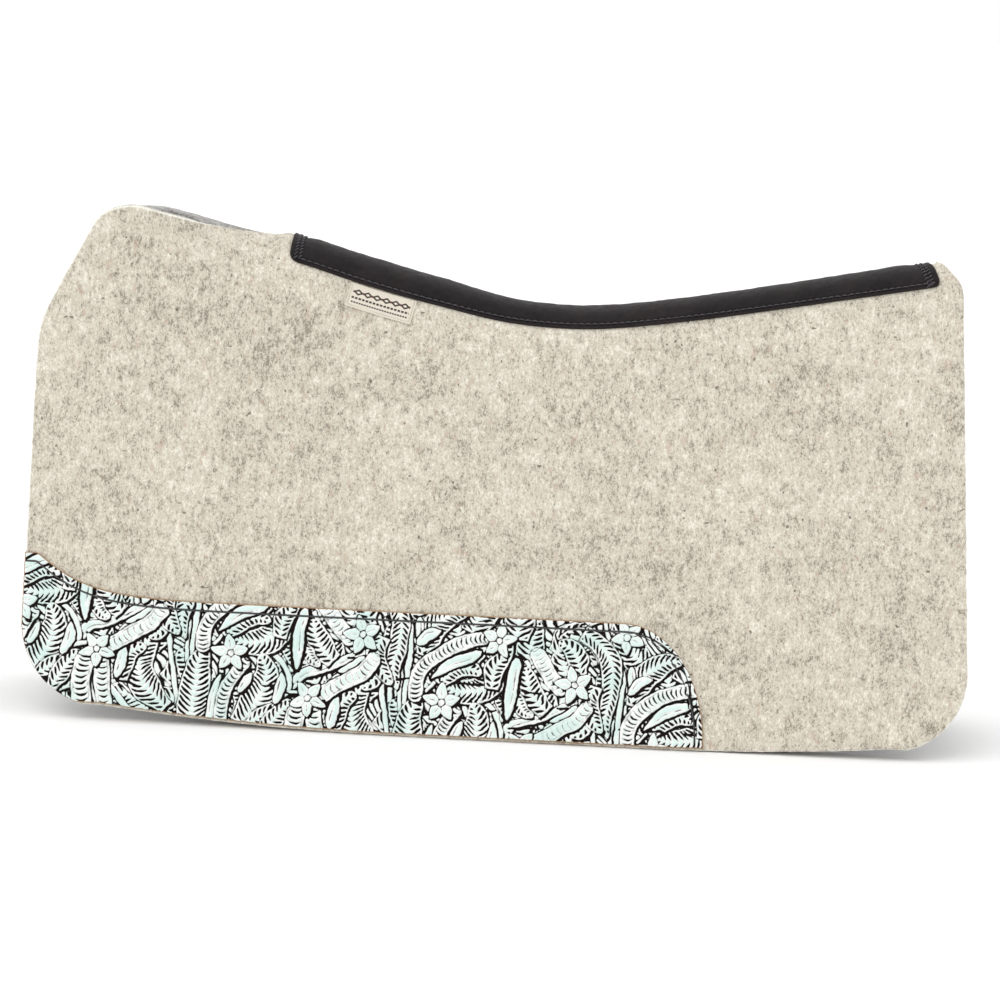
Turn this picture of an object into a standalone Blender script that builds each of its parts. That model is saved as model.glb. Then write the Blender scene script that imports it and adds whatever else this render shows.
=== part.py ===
"""A contoured western saddle pad, folded at its spine: two thick felt panels, sewn edge to edge along a dipped
ridge, with a leather strip over the seam, a tooled wear leather on each lower front corner, and a woven label.

Metres, +Z up. The horse would face -X, so -Y is its left (near) side. The pad stands on its lower edges at z = 0.
Every piece is laid on one curved surface, the outside of the felt, by three numbers: x along the pad, s down the
felt from its top edge, and n out from the felt. place() turns them into a point.
"""

import functools
import math

import bpy
import bmesh
from mathutils import Vector

MM = 0.001

# Driving dimensions
FELT_THICKNESS = 22 * MM
PAD_FRONT, PAD_REAR = -380 * MM, 382.5 * MM
FOOT_HALF_WIDTH = 92 * MM  # from the middle plane to a panel's outside, at the floor
RIDGE_BEND = 36 * MM  # down each side from the crown to where the panel is straight
SEAM_GAP = 0.3 * MM  # from each panel to the middle plane
SEAM_RELIEF = 1.5 * MM  # how far each cut edge leans back at the crown
FOLD_AXIS_Z = 352 * MM  # the line that the panels turn about, just above the seam's lowest stretch
LAY_GAP = 0.5 * MM  # between a piece and what it lies on
STRIP_THICKNESS = 2.5 * MM
WEAR_THICKNESS = 2.2 * MM
LABEL_THICKNESS = 0.7 * MM
THREAD_RADIUS = 0.5 * MM
THREAD_GAP = 0.5 * MM

# The top edge of the felt, seen from the side, from the withers to the rear
TOP_EDGE = [
    (-337, 397), (-330, 403), (-318, 406.5), (-298, 408), (-268, 404.5), (-236, 397.5), (-206, 392), (-180, 389.5),
    (-124, 374.8), (-60, 359.2), (-4, 346), (40, 342), (84, 344.2), (152, 354.8), (215, 367.2), (279, 380.4), (339, 392.8),
]  # fmt: skip
TOP_EDGE = [(x * MM, z * MM) for x, z in TOP_EDGE]

# The open withers, ahead of the spine leather
SEAM_FRONT, WITHERS_OPEN = -195 * MM, -270 * MM  # the panels part here, and are fully parted here
WITHERS_HALF_GAP = 12.5 * MM
WITHERS_TOP_ANGLE = math.radians(1)
WITHERS_BEND = 110 * MM  # down each side to where the panel is straight

# The other edges of a panel, seen from the side
FRONT_LEAN, FRONT_KNEE_Z, FRONT_KNEE_SOFTNESS = 0.517, 314 * MM, 8 * MM
FRONT_CORNER_RADIUS = 66 * MM
REAR_LEAN = 0.06
REAR_BOTTOM_RADIUS, REAR_TOP_RADIUS = 60 * MM, 22 * MM
REAR_TOP_CENTRE_Z = 371 * MM
BOTTOM_MIDDLE, BOTTOM_FLAT_HALF, BOTTOM_BOW_REACH = 20 * MM, 100 * MM, 230 * MM
BOTTOM_BOW = 12 * MM

# The spine leather
STRIP_FRONT, STRIP_REAR = -178.5 * MM, 336.5 * MM  # at the crown
STRIP_FRONT_RAKE = 0.09  # how far forward its front end runs for each metre down from the crown
STRIP_REAR_RAKE = 0.29  # how far back its rear end runs for each metre down from the crown
STRIP_CORNER = 7 * MM
STRIP_HALF_WIDTHS = [(-178, 32), (-80, 32.5), (40, 28), (340, 30.2)]
STRIP_HALF_WIDTHS = [(x * MM, w * MM) for x, w in STRIP_HALF_WIDTHS]
STRIP_STITCH_INSET = 3.2 * MM
TACK_INSET, TACK_HALF_HEIGHT, TACK_STITCHES = 7 * MM, 2.5 * MM, 14

# The wear leathers
WEAR_OVERHANG = 2.5 * MM  # past the felt's front edge
WEAR_FLOOR_GAP = 2 * MM
WEAR_FRONT_TOP, WEAR_BODY_TOP = 131 * MM, 98 * MM
WEAR_SWEEP_START, WEAR_SWEEP_LENGTH = -371 * MM, 35 * MM  # where the upper line sweeps down
WEAR_ROUND_START, WEAR_REAR = 104 * MM, 172 * MM
WEAR_STITCH_INSET = 7 * MM

# The label
LABEL_FRONT, LABEL_WIDTH, LABEL_HEIGHT, LABEL_SKEW = -130 * MM, 53.5 * MM, 20 * MM, 0.24
LABEL_STITCH_INSET = 2 * MM

COLOURS = {
    "felt": (0.66, 0.61, 0.51), "spine_leather": (0.025, 0.02, 0.021), "wear_leather": (0.62, 0.74, 0.69),
    "black_thread": (0.012, 0.011, 0.012), "natural_thread": (0.55, 0.5, 0.4), "label_cloth": (0.72, 0.68, 0.55),
}  # fmt: skip
ROUGHNESS = {"felt": 1.0, "spine_leather": 0.45, "wear_leather": 0.4}


# --- The shape of the felt ---------------------------------------------------------------------------------------


def smooth_step(t):
    t = min(1.0, max(0.0, t))
    return t * t * (3 - 2 * t)


def through(points, x):
    """The height at x of the smooth curve through the points, level beyond its ends."""
    if x <= points[0][0]:
        return points[0][1]
    if x >= points[-1][0]:
        return points[-1][1]
    i = next(k for k in range(1, len(points)) if x <= points[k][0])
    before, start, end, after = (points[max(0, min(len(points) - 1, k))] for k in (i - 2, i - 1, i, i + 1))
    span = end[0] - start[0]
    t = (x - start[0]) / span
    slope_in = (end[1] - before[1]) / (end[0] - before[0]) * span
    slope_out = (after[1] - start[1]) / (after[0] - start[0]) * span
    return (
        start[1] * (2 * t**3 - 3 * t**2 + 1)
        + slope_in * (t**3 - 2 * t**2 + t)
        + end[1] * (3 * t**2 - 2 * t**3)
        + slope_out * (t**3 - t**2)
    )


def top_z(x):
    return through(TOP_EDGE, x)


def bottom_z(x):
    """The lower edge is straight in its middle, where the pad stands, and rises a little towards its ends."""
    out = max(0.0, abs(x - BOTTOM_MIDDLE) - BOTTOM_FLAT_HALF) / BOTTOM_BOW_REACH
    return BOTTOM_BOW * out**2


def parted(x):
    """How far the two panels have parted: 0 under the spine leather and behind it, 1 at the withers."""
    return smooth_step((SEAM_FRONT - x) / (SEAM_FRONT - WITHERS_OPEN))


def arc(start, end, length):
    """How far out and down an arc runs, from its first angle to its last, both taken from the vertical."""
    turn = start - end
    if abs(turn) < 1e-6:
        return length * math.sin(end), length * math.cos(end)
    return (
        length * (math.cos(end) - math.cos(start)) / turn,
        length * (math.sin(start) - math.sin(end)) / turn,
    )


@functools.cache
def leg_angle(x, half_width, first_angle, bend):
    """The angle of the straight part of a section, which runs from the end of its bend to the foot."""
    leg = math.radians(10)
    for _ in range(12):
        out, down = arc(first_angle, leg, bend)
        leg = math.atan((FOOT_HALF_WIDTH - half_width - out) / (top_z(x) - down))
    return leg


def section(x, s, half_width, first_angle, bend):
    """How far out and down a section has run at s, and its direction there."""
    leg = leg_angle(x, half_width, first_angle, bend)
    bent = min(s, bend)
    angle = first_angle + (leg - first_angle) * bent / bend
    out, down = arc(first_angle, angle, bent)
    rest = s - bent
    return Vector((half_width + out + rest * math.sin(leg), down + rest * math.cos(leg), math.sin(angle), math.cos(angle)))


def outside(x, s):
    """The section at x: folded over the ridge behind the withers, upright and parted at them, and between in between."""
    p = parted(x)
    folded = section(x, s, SEAM_GAP, math.pi / 2, RIDGE_BEND)
    upright = section(x, s, WITHERS_HALF_GAP + FELT_THICKNESS, WITHERS_TOP_ANGLE, WITHERS_BEND)
    return folded.lerp(upright, p)


def place(x, s, n, side):
    """The point at x, s down the outside of the felt from its top edge and n out from it. side is -1 for the left."""
    out, down, run_out, run_down = outside(x, s)
    length = math.hypot(run_out, run_down)
    return Vector((x, side * (out + n * run_down / length), top_z(x) - down + n * run_out / length))


def down_to(x, z):
    """The s, below the bends, at which the outside of the felt is at height z."""
    _, down, _, run_down = outside(x, WITHERS_BEND)
    return WITHERS_BEND + (top_z(x) - down - z) / run_down


def leg_slope(x):
    _, _, run_out, run_down = outside(x, WITHERS_BEND)
    return run_out / run_down


def front_x(z):
    """The front edge: leaning back above its knee, then upright, then a round corner."""
    centre_x, centre_z = PAD_FRONT + FRONT_CORNER_RADIUS, BOTTOM_BOW + FRONT_CORNER_RADIUS
    if z < centre_z:
        return centre_x - math.sqrt(max(0, FRONT_CORNER_RADIUS**2 - (z - centre_z) ** 2))
    lean = FRONT_KNEE_SOFTNESS * math.log(1 + math.exp((z - FRONT_KNEE_Z) / FRONT_KNEE_SOFTNESS))
    return PAD_FRONT + FRONT_LEAN * lean


def rear_x(z):
    """The rear edge: round at its top and bottom corners, and leaning a little forward between them."""
    low_z = bottom_z(PAD_REAR - REAR_BOTTOM_RADIUS) + REAR_BOTTOM_RADIUS
    if z < low_z:
        centre_x = PAD_REAR - REAR_BOTTOM_RADIUS
        return centre_x + math.sqrt(max(0, REAR_BOTTOM_RADIUS**2 - (z - low_z) ** 2))
    if z > REAR_TOP_CENTRE_Z:
        centre_x = PAD_REAR - REAR_LEAN * (REAR_TOP_CENTRE_Z - low_z) - REAR_TOP_RADIUS
        return centre_x + math.sqrt(max(0, REAR_TOP_RADIUS**2 - (z - REAR_TOP_CENTRE_Z) ** 2))
    return PAD_REAR - REAR_LEAN * (z - low_z)


# --- Meshes ------------------------------------------------------------------------------------------------------


def clear_scene():
    for obj in list(bpy.data.objects):
        bpy.data.objects.remove(obj, do_unlink=True)


def material(name):
    made = bpy.data.materials.get(name) or bpy.data.materials.new(name)
    made.use_nodes = True
    shader = made.node_tree.nodes["Principled BSDF"]
    shader.inputs["Base Color"].default_value = (*COLOURS[name], 1)
    shader.inputs["Roughness"].default_value = ROUGHNESS.get(name, 0.8)
    return made


def slab(name, outside, inside, material_name, parent):
    """A closed solid between two grids of points with the same rows and columns."""
    mesh = bmesh.new()
    rows, columns = len(outside), len(outside[0])
    faces = [[[mesh.verts.new(p) for p in row] for row in grid] for grid in (outside, inside)]
    for grid in faces:
        for r in range(rows - 1):
            for c in range(columns - 1):
                mesh.faces.new((grid[r][c], grid[r][c + 1], grid[r + 1][c + 1], grid[r + 1][c]))
    rims = [
        grid[0] + [row[-1] for row in grid[1:]] + grid[-1][-2::-1] + [row[0] for row in grid[-2:0:-1]]
        for grid in faces
    ]  # fmt: skip
    around = len(rims[0])
    for k in range(around):
        following = (k + 1) % around
        mesh.faces.new((rims[0][k], rims[0][following], rims[1][following], rims[1][k]))
    bmesh.ops.recalc_face_normals(mesh, faces=mesh.faces)
    data = bpy.data.meshes.new(name)
    mesh.to_mesh(data)
    mesh.free()
    data.shade_smooth()
    data.set_sharp_from_angle(angle=math.radians(40))
    return add(name, data, material_name, parent)


def thread(name, points, parent, material_name="black_thread"):
    """A thin sewing thread through the points."""
    curve = bpy.data.curves.new(name, "CURVE")
    curve.dimensions = "3D"
    curve.bevel_depth = THREAD_RADIUS
    curve.bevel_resolution = 0
    curve.use_fill_caps = True
    line = curve.splines.new("POLY")
    line.points.add(len(points) - 1)
    for point, place_of in zip(line.points, points):
        point.co = (*place_of, 1)
    return add(name, curve, material_name, parent)


def add(name, data, material_name, parent):
    obj = bpy.data.objects.new(name, data)
    data.materials.append(material(material_name))
    bpy.context.scene.collection.objects.link(obj)
    obj.parent = parent
    obj.matrix_parent_inverse = parent.matrix_world.inverted()
    return obj


def pivot(name, location):
    empty = bpy.data.objects.new(name, None)
    empty.location = location
    bpy.context.scene.collection.objects.link(empty)
    bpy.context.view_layer.update()
    return empty


def steps(start, end, count):
    return [start + (end - start) * k / count for k in range(count + 1)]


def spaced(path, count):
    """count + 1 points evenly spaced along a path of (x, z) points."""
    lengths = [0.0]
    for a, b in zip(path, path[1:]):
        lengths.append(lengths[-1] + math.dist(a, b))
    found = []
    for distance in steps(0, lengths[-1], count):
        i = next((k for k in range(1, len(path)) if lengths[k] >= distance - 1e-12), len(path) - 1)
        t = (distance - lengths[i - 1]) / (lengths[i] - lengths[i - 1])
        found.append(tuple(a + (b - a) * t for a, b in zip(path[i - 1], path[i])))
    return found


# --- The felt panels ---------------------------------------------------------------------------------------------

ROW_SHARES = (
    [0.008 + 0.0118 * k for k in range(9)] + [0.14, 0.2, 0.3, 0.42, 0.54, 0.66, 0.77]
    + [0.82, 0.87, 0.91, 0.945, 0.97, 0.986, 0.996, 1]
)  # fmt: skip
FRONT_COLUMNS, REAR_COLUMNS = 14, 24  # ahead of where the panels part, and behind it


def panel_point(x, share, n, side):
    """A point at a share of the way down the panel. Its cut lower edge is level, so the inside is a little shorter."""
    length = down_to(x, bottom_z(x))
    s = share * length
    if n < 0:
        s -= share * FELT_THICKNESS * leg_slope(x)
        s -= (1 - share) ** 8 * ROW_SHARES[0] * length
    elif share == ROW_SHARES[0]:
        s = SEAM_RELIEF
    return place(x, max(0, s), n, side)


def row_end(edge, x, share):
    """Where the row at that share meets an edge: the x at which the edge's own height is the row's."""
    for _ in range(12):
        x = edge(place(x, share * down_to(x, bottom_z(x)), 0, 1).z)
    return x


def felt_panel(name, side, parent):
    outside, inside = [], []
    for share in ROW_SHARES:
        front = row_end(front_x, PAD_FRONT, share) if share < 1 else PAD_FRONT + FRONT_CORNER_RADIUS
        rear = row_end(rear_x, PAD_REAR, share) if share < 1 else PAD_REAR - REAR_BOTTOM_RADIUS
        xs = steps(front, SEAM_FRONT, FRONT_COLUMNS) + steps(SEAM_FRONT, rear, REAR_COLUMNS)[1:]
        outside.append([panel_point(x, share, 0, side) for x in xs])
        inside.append([panel_point(x, share, -FELT_THICKNESS, side) for x in xs])
    return slab(name, outside, inside, "felt", parent)


# --- The spine leather and its sewing ----------------------------------------------------------------------------

STRIP_COLUMNS = 28
STRIP_ROW_SHARES = [0, 0.17, 0.34, 0.5, 0.65, 0.77, 0.85, 0.92, 0.97, 1]


def strip_half_width(x):
    return through(STRIP_HALF_WIDTHS, x)


def strip_ends(share):
    """The x of the strip's two ends, at a share of its half width from the crown. Its corners are round."""
    half = strip_half_width(STRIP_FRONT)
    past = max(0, share * half - (half - STRIP_CORNER))
    rounding = STRIP_CORNER - math.sqrt(STRIP_CORNER**2 - past**2)
    down = share * half
    return STRIP_FRONT - STRIP_FRONT_RAKE * down + rounding, STRIP_REAR + STRIP_REAR_RAKE * down - rounding


def strip_point(x, share, n, side):
    point = place(x, share * strip_half_width(x), n, side)
    return Vector((x, 0, point.z)) if share == 0 else point


def spine_leather(parent):
    grids = []
    for n in (LAY_GAP + STRIP_THICKNESS, LAY_GAP):
        rows = []
        for side, shares in ((-1, STRIP_ROW_SHARES[:0:-1]), (1, STRIP_ROW_SHARES)):
            for share in shares:
                front, rear = strip_ends(share)
                rows.append([strip_point(x, share, n, side) for x in steps(front, rear, STRIP_COLUMNS)])
        grids.append(rows)
    return slab("spine_leather", *grids, "spine_leather", parent)


def strip_stitch_s(x):
    return strip_half_width(x) - STRIP_STITCH_INSET


def strip_row(name, side, n, parent):
    """One long row of sewing beside an edge of the spine leather, on its face or on the felt's inside."""
    xs = steps(STRIP_FRONT + 2 * STRIP_CORNER, STRIP_REAR - STRIP_CORNER, 44)
    return thread(name, [place(x, strip_stitch_s(x), n, side) for x in xs], parent)


def strip_tack(name, middle_x, rake, parent):
    """The slanted bar of sewing across an end of the spine leather, over the crown from side to side."""
    points = []
    reach = strip_stitch_s(middle_x) + THREAD_RADIUS
    for k, across in enumerate(steps(-reach, reach, 2 * TACK_STITCHES)):
        x = middle_x + rake * abs(across) + (TACK_HALF_HEIGHT if k % 2 else -TACK_HALF_HEIGHT)
        point = place(x, abs(across), LAY_GAP + STRIP_THICKNESS + THREAD_GAP + THREAD_RADIUS, math.copysign(1, across))
        points.append(Vector((x, 0, point.z)) if abs(across) < SEAM_GAP else point)
    return thread(name, points, parent)


def seam_thread(name, n, parent):
    """The sewing that joins the two felt panels, in the middle plane."""
    xs = steps(SEAM_FRONT + THREAD_RADIUS, STRIP_REAR, 44)
    return thread(name, [Vector((x, 0, place(x, 0, n, 1).z)) for x in xs], parent, "natural_thread")


# --- The wear leathers and the label -----------------------------------------------------------------------------


def wear_top_z(x):
    run = max(0.0, x - WEAR_SWEEP_START) / WEAR_SWEEP_LENGTH
    return WEAR_BODY_TOP + (WEAR_FRONT_TOP - WEAR_BODY_TOP) * math.exp(-(run**1.15))


def wear_low_z(x):
    return bottom_z(x) + WEAR_FLOOR_GAP


def wear_edges(inset=0.0):
    """The upper line of a wear leather as (x, z) points: swept down from the front edge, along, then round at its rear."""
    line = [(x, wear_top_z(x) - inset) for x in steps(PAD_FRONT - WEAR_OVERHANG, WEAR_ROUND_START, 60)]
    across, high = WEAR_REAR - inset - WEAR_ROUND_START, line[-1][1] - wear_low_z(WEAR_REAR)
    for angle in steps(0, math.pi / 2, 24)[1:]:
        line.append((line[60][0] + across * math.sin(angle), wear_low_z(WEAR_REAR) + high * math.cos(angle)))
    return line


def wear_leather(name, side, parent):
    upper = wear_edges()
    turn = FRONT_CORNER_RADIUS * math.sin(math.radians(45))
    corner = (PAD_FRONT + FRONT_CORNER_RADIUS, BOTTOM_BOW + FRONT_CORNER_RADIUS)
    radius = FRONT_CORNER_RADIUS + WEAR_OVERHANG
    front = [upper[0], (PAD_FRONT - WEAR_OVERHANG, corner[1])]
    front += [(corner[0] - radius * math.cos(a), corner[1] - radius * math.sin(a)) for a in steps(0, math.pi / 4, 10)[1:]]
    low = [front[-1]]
    for a in steps(math.pi / 4, math.pi / 2, 10)[1:]:
        low.append((corner[0] - radius * math.cos(a), max(corner[1] - radius * math.sin(a), wear_low_z(corner[0]))))
    low += [(x, wear_low_z(x)) for x in steps(corner[0], WEAR_REAR, 40)[1:]]
    rounded = 12
    top, rear = upper[:-rounded], upper[-rounded - 1 :]
    columns, rows = 34, 6
    top, low = spaced(top, columns), spaced(low, columns)
    front, rear = spaced(front, rows), spaced(rear, rows)
    grids = []
    for n in (LAY_GAP + WEAR_THICKNESS, LAY_GAP):
        grid = []
        for r in range(rows + 1):
            v = r / rows
            row = []
            for c in range(columns + 1):
                u = c / columns
                xz = [
                    (1 - v) * top[c][k] + v * low[c][k] + (1 - u) * front[r][k] + u * rear[r][k]
                    - (1 - u) * (1 - v) * top[0][k] - u * (1 - v) * top[-1][k]
                    - (1 - u) * v * low[0][k] - u * v * low[-1][k]
                    for k in (0, 1)
                ]  # fmt: skip
                row.append(place(xz[0], down_to(*xz), n, side))
            grid.append(row)
        grids.append(grid)
    return slab(name, *grids, "wear_leather", parent)


def wear_row(name, side, n, parent):
    """The row of sewing inside the upper and rear edges of a wear leather, on its face or on the felt's inside."""
    line = wear_edges(WEAR_STITCH_INSET)
    line = [p for p in line if p[0] > PAD_FRONT + 2 * MM and p[1] > wear_low_z(p[0]) + 4 * MM]
    return thread(name, [place(x, down_to(x, z), n, side) for x, z in spaced(line, 60)], parent)


def label_point(across, down, n):
    """A point on the label, which hangs square to the spine leather's lower edge."""
    x = LABEL_FRONT + across * LABEL_WIDTH - LABEL_SKEW * down * LABEL_HEIGHT
    return place(x, strip_half_width(x) + 2 * LAY_GAP + down * LABEL_HEIGHT, n, -1)


def woven_label(parent):
    grids = [
        [[label_point(a, d, n) for a in steps(0, 1, 6)] for d in steps(0, 1, 5)]
        for n in (LAY_GAP + LABEL_THICKNESS, LAY_GAP)
    ]
    return slab("woven_label", *grids, "label_cloth", parent)


def label_stitch(parent):
    """Sewing round the two sides and the lower edge of the label."""
    edge_x, edge_z = LABEL_STITCH_INSET / LABEL_WIDTH, LABEL_STITCH_INSET / LABEL_HEIGHT
    path = [(edge_x, d) for d in steps(edge_z, 1 - edge_z, 4)]
    path += [(a, 1 - edge_z) for a in steps(edge_x, 1 - edge_x, 8)[1:]]
    path += [(1 - edge_x, d) for d in steps(1 - edge_z, edge_z, 4)[1:]]
    n = LAY_GAP + LABEL_THICKNESS + THREAD_GAP + THREAD_RADIUS
    return thread("label_stitch", [label_point(a, d, n) for a, d in path], parent, "natural_thread")


# --- The pad -----------------------------------------------------------------------------------------------------


def build():
    clear_scene()
    fold = (0, 0, FOLD_AXIS_Z)
    spine = pivot("spine_pivot", fold)
    on_strip = LAY_GAP + STRIP_THICKNESS + THREAD_GAP + THREAD_RADIUS
    on_wear = LAY_GAP + WEAR_THICKNESS + THREAD_GAP + THREAD_RADIUS
    inside = -FELT_THICKNESS - THREAD_GAP - THREAD_RADIUS
    spine_leather(spine)
    seam_thread("spine_seam_thread", -0.8 * MM, spine)
    seam_thread("spine_seam_under_thread", -FELT_THICKNESS - 1.3 * MM, spine)
    strip_tack("spine_tack_front", STRIP_FRONT + TACK_INSET, -STRIP_FRONT_RAKE, spine)
    strip_tack("spine_tack_rear", STRIP_REAR - TACK_INSET, STRIP_REAR_RAKE, spine)
    for side, word in ((-1, "left"), (1, "right")):
        flap = pivot(f"{word}_flap_pivot", fold)
        felt_panel(f"felt_panel_{word}", side, flap)
        strip_row(f"spine_stitch_{word}", side, on_strip, spine)
        strip_row(f"spine_bobbin_{word}", side, inside, flap)
        wear_leather(f"wear_leather_{word}", side, flap)
        wear_row(f"wear_stitch_{word}", side, on_wear, flap)
        wear_row(f"wear_bobbin_{word}", side, inside, flap)
        if side < 0:
            woven_label(flap)
            label_stitch(flap)


build()
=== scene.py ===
import math

import bpy
import numpy as np
from mathutils import Matrix, Vector


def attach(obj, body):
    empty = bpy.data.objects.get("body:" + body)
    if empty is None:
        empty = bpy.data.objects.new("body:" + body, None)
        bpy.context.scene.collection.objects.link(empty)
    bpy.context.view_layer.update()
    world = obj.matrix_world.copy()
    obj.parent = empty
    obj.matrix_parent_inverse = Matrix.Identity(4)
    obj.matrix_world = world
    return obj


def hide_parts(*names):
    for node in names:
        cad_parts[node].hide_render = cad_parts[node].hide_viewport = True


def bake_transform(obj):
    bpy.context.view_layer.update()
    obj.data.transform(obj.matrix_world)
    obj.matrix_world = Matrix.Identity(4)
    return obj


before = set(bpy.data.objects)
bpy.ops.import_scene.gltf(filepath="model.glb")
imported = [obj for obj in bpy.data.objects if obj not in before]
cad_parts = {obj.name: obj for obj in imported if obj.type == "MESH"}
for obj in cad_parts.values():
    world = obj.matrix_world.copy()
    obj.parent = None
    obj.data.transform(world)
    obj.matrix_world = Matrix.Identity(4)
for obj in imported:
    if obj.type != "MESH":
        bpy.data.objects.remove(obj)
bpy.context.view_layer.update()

MM = 0.001
TO_MM = 1000
RNG = np.random.default_rng(7)  # the stitches draw from it in the order that they are made
SIDES = ((-1, "left"), (1, "right"))

# --- The pad's surface, as the CAD lays it out: x along the pad, s down the felt from its top, n out from it

FELT = 22 * MM
PAD_FRONT, PAD_REAR = -380 * MM, 382.5 * MM
FOOT_HALF_WIDTH = 92 * MM
RIDGE_BEND = 36 * MM
SEAM_GAP = 0.3 * MM
TOP_EDGE = np.array([
    (-337, 397), (-330, 403), (-318, 406.5), (-298, 408), (-268, 404.5), (-236, 397.5), (-206, 392),
    (-180, 389.5), (-124, 374.8), (-60, 359.2), (-4, 346), (40, 342), (84, 344.2), (152, 354.8), (215, 367.2),
    (279, 380.4), (339, 392.8),
]) * MM  # fmt: skip
SEAM_FRONT, WITHERS_OPEN = -195 * MM, -270 * MM
WITHERS_HALF_GAP = 12.5 * MM
WITHERS_TOP_ANGLE = math.radians(1)
WITHERS_BEND = 110 * MM
FRONT_LEAN, FRONT_KNEE_Z, FRONT_KNEE_SOFTNESS = 0.517, 314 * MM, 8 * MM
FRONT_CORNER_RADIUS = 66 * MM
REAR_LEAN = 0.06
REAR_BOTTOM_RADIUS, REAR_TOP_RADIUS = 60 * MM, 22 * MM
REAR_TOP_CENTRE_Z = 371 * MM
BOTTOM_MIDDLE, BOTTOM_FLAT_HALF, BOTTOM_BOW_REACH = 20 * MM, 100 * MM, 230 * MM
BOTTOM_BOW = 12 * MM
STRIP_FRONT, STRIP_REAR = -178.5 * MM, 336.5 * MM  # at the crown
STRIP_FRONT_RAKE, STRIP_REAR_RAKE = 0.09, 0.29
STRIP_HALF_WIDTHS = np.array([(-178, 32), (-80, 32.5), (40, 28), (340, 30.2)]) * MM
WEAR_OVERHANG, WEAR_FLOOR_GAP = 0.5 * MM, 2 * MM
WEAR_FRONT_TOP, WEAR_BODY_TOP = 131 * MM, 98 * MM
WEAR_SWEEP_START, WEAR_SWEEP_LENGTH = -371 * MM, 35 * MM
WEAR_ROUND_START, WEAR_REAR = 104 * MM, 172 * MM
LABEL_FRONT, LABEL_WIDTH, LABEL_HEIGHT, LABEL_SKEW = -130 * MM, 53.5 * MM, 20 * MM, 0.24
ON_FELT = 0.5 * MM  # what lies on the felt starts this far out, as in the CAD

# The felt springs up past each end of the strip: how high, at which x, and how far along and down it reaches
SPRING_FRONT = (2.6 * MM, -182.5 * MM, 6.5 * MM)
SPRING_REAR = (4.2 * MM, 347 * MM, 7 * MM)
SPRING_DOWN = 16 * MM
LEG_PASSES, EDGE_PASSES = 12, 40  # how often the legs' angle is refined, and the place of a row's end halved


def smooth(t):
    t = np.clip(t, 0, 1)
    return t * t * (3 - 2 * t)


def bell(offset, width):
    return np.exp(-((offset / width) ** 2))


def unit(vectors, guard=0.0):
    return vectors / (np.linalg.norm(vectors, axis=-1, keepdims=True) + guard)


def hermite(start, end, slope_in, slope_out, t):
    return (
        start * (2 * t**3 - 3 * t**2 + 1)
        + slope_in * (t**3 - 2 * t**2 + t)
        + end * (3 * t**2 - 2 * t**3)
        + slope_out * (t**3 - t**2)
    )


def through(points, x):
    """The smooth curve through the points, level beyond its ends."""
    px, py = points[:, 0], points[:, 1]
    x = np.clip(np.asarray(x, float), px[0], px[-1])
    i = np.clip(np.searchsorted(px, x, side="left"), 1, len(px) - 1)
    a, b = np.maximum(i - 2, 0), np.minimum(i + 1, len(px) - 1)
    span = px[i] - px[i - 1]
    slope_in = (py[i] - py[a]) / (px[i] - px[a]) * span
    slope_out = (py[b] - py[i - 1]) / (px[b] - px[i - 1]) * span
    return hermite(py[i - 1], py[i], slope_in, slope_out, (x - px[i - 1]) / span)


def lengths_along(path):
    return np.concatenate([[0], np.cumsum(np.linalg.norm(np.diff(path, axis=0), axis=1))])


def top_z(x):
    return through(TOP_EDGE, x)


def bottom_z(x):
    x = np.clip(x, PAD_FRONT + FRONT_CORNER_RADIUS, PAD_REAR - REAR_BOTTOM_RADIUS)
    out = np.maximum(0.0, np.abs(x - BOTTOM_MIDDLE) - BOTTOM_FLAT_HALF) / BOTTOM_BOW_REACH
    return BOTTOM_BOW * out**2


def parted(x):
    return smooth((SEAM_FRONT - x) / (SEAM_FRONT - WITHERS_OPEN))


def arc(start, end, length):
    """How far out and down an arc reaches whose angle out of the vertical goes from start to end."""
    turn = start - end
    turn = np.where(np.abs(turn) < 1e-6, 1e-6, turn)
    return length * (np.cos(end) - np.cos(start)) / turn, length * (np.sin(start) - np.sin(end)) / turn


def section(x, s, half_width, first_angle, bend):
    """Out, down and the felt's direction at s: an arc over the bend, then a straight leg to the floor."""
    leg = np.full_like(x, math.radians(10))
    for _ in range(LEG_PASSES):
        out, down = arc(first_angle, leg, bend)
        leg = np.arctan((FOOT_HALF_WIDTH - half_width - out) / (top_z(x) - down))
    bent = np.minimum(s, bend)
    angle = first_angle + (leg - first_angle) * bent / bend
    out, down = arc(first_angle, angle, bent)
    rest = s - bent
    across, down = half_width + out + rest * np.sin(leg), down + rest * np.cos(leg)
    return np.stack([across, down, np.sin(angle), np.cos(angle)])


def outside(x, s):
    p = parted(x)
    folded = section(x, s, SEAM_GAP, math.pi / 2, RIDGE_BEND)
    upright = section(x, s, WITHERS_HALF_GAP + FELT, WITHERS_TOP_ANGLE, WITHERS_BEND)
    return folded + (upright - folded) * p


def sprung(x, s):
    """How far the felt springs up just past the two ends of the strip, which holds it down between them."""
    front, rear = (high * bell(x - middle, reach) for high, middle, reach in (SPRING_FRONT, SPRING_REAR))
    return (front + rear) * bell(s, SPRING_DOWN)


def place(x, s, n, side):
    """The points at x, s and n on a side: -1 is the left (near) side."""
    x, s, n, side = np.broadcast_arrays(*(np.asarray(a, float) for a in (x, s, n, side)))
    out, down, run_out, run_down = outside(x, s)
    length = np.hypot(run_out, run_down)
    y = side * (out + n * run_down / length)
    return np.stack([x, y, top_z(x) - down + sprung(x, s) + n * run_out / length], -1)


def down_to(x, z):
    """The s at which the outside of the felt is at height z."""
    x = np.asarray(x, float)
    _, down, _, run_down = outside(x, np.full_like(x, WITHERS_BEND))
    return WITHERS_BEND + (top_z(x) - down - z) / run_down


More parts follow.
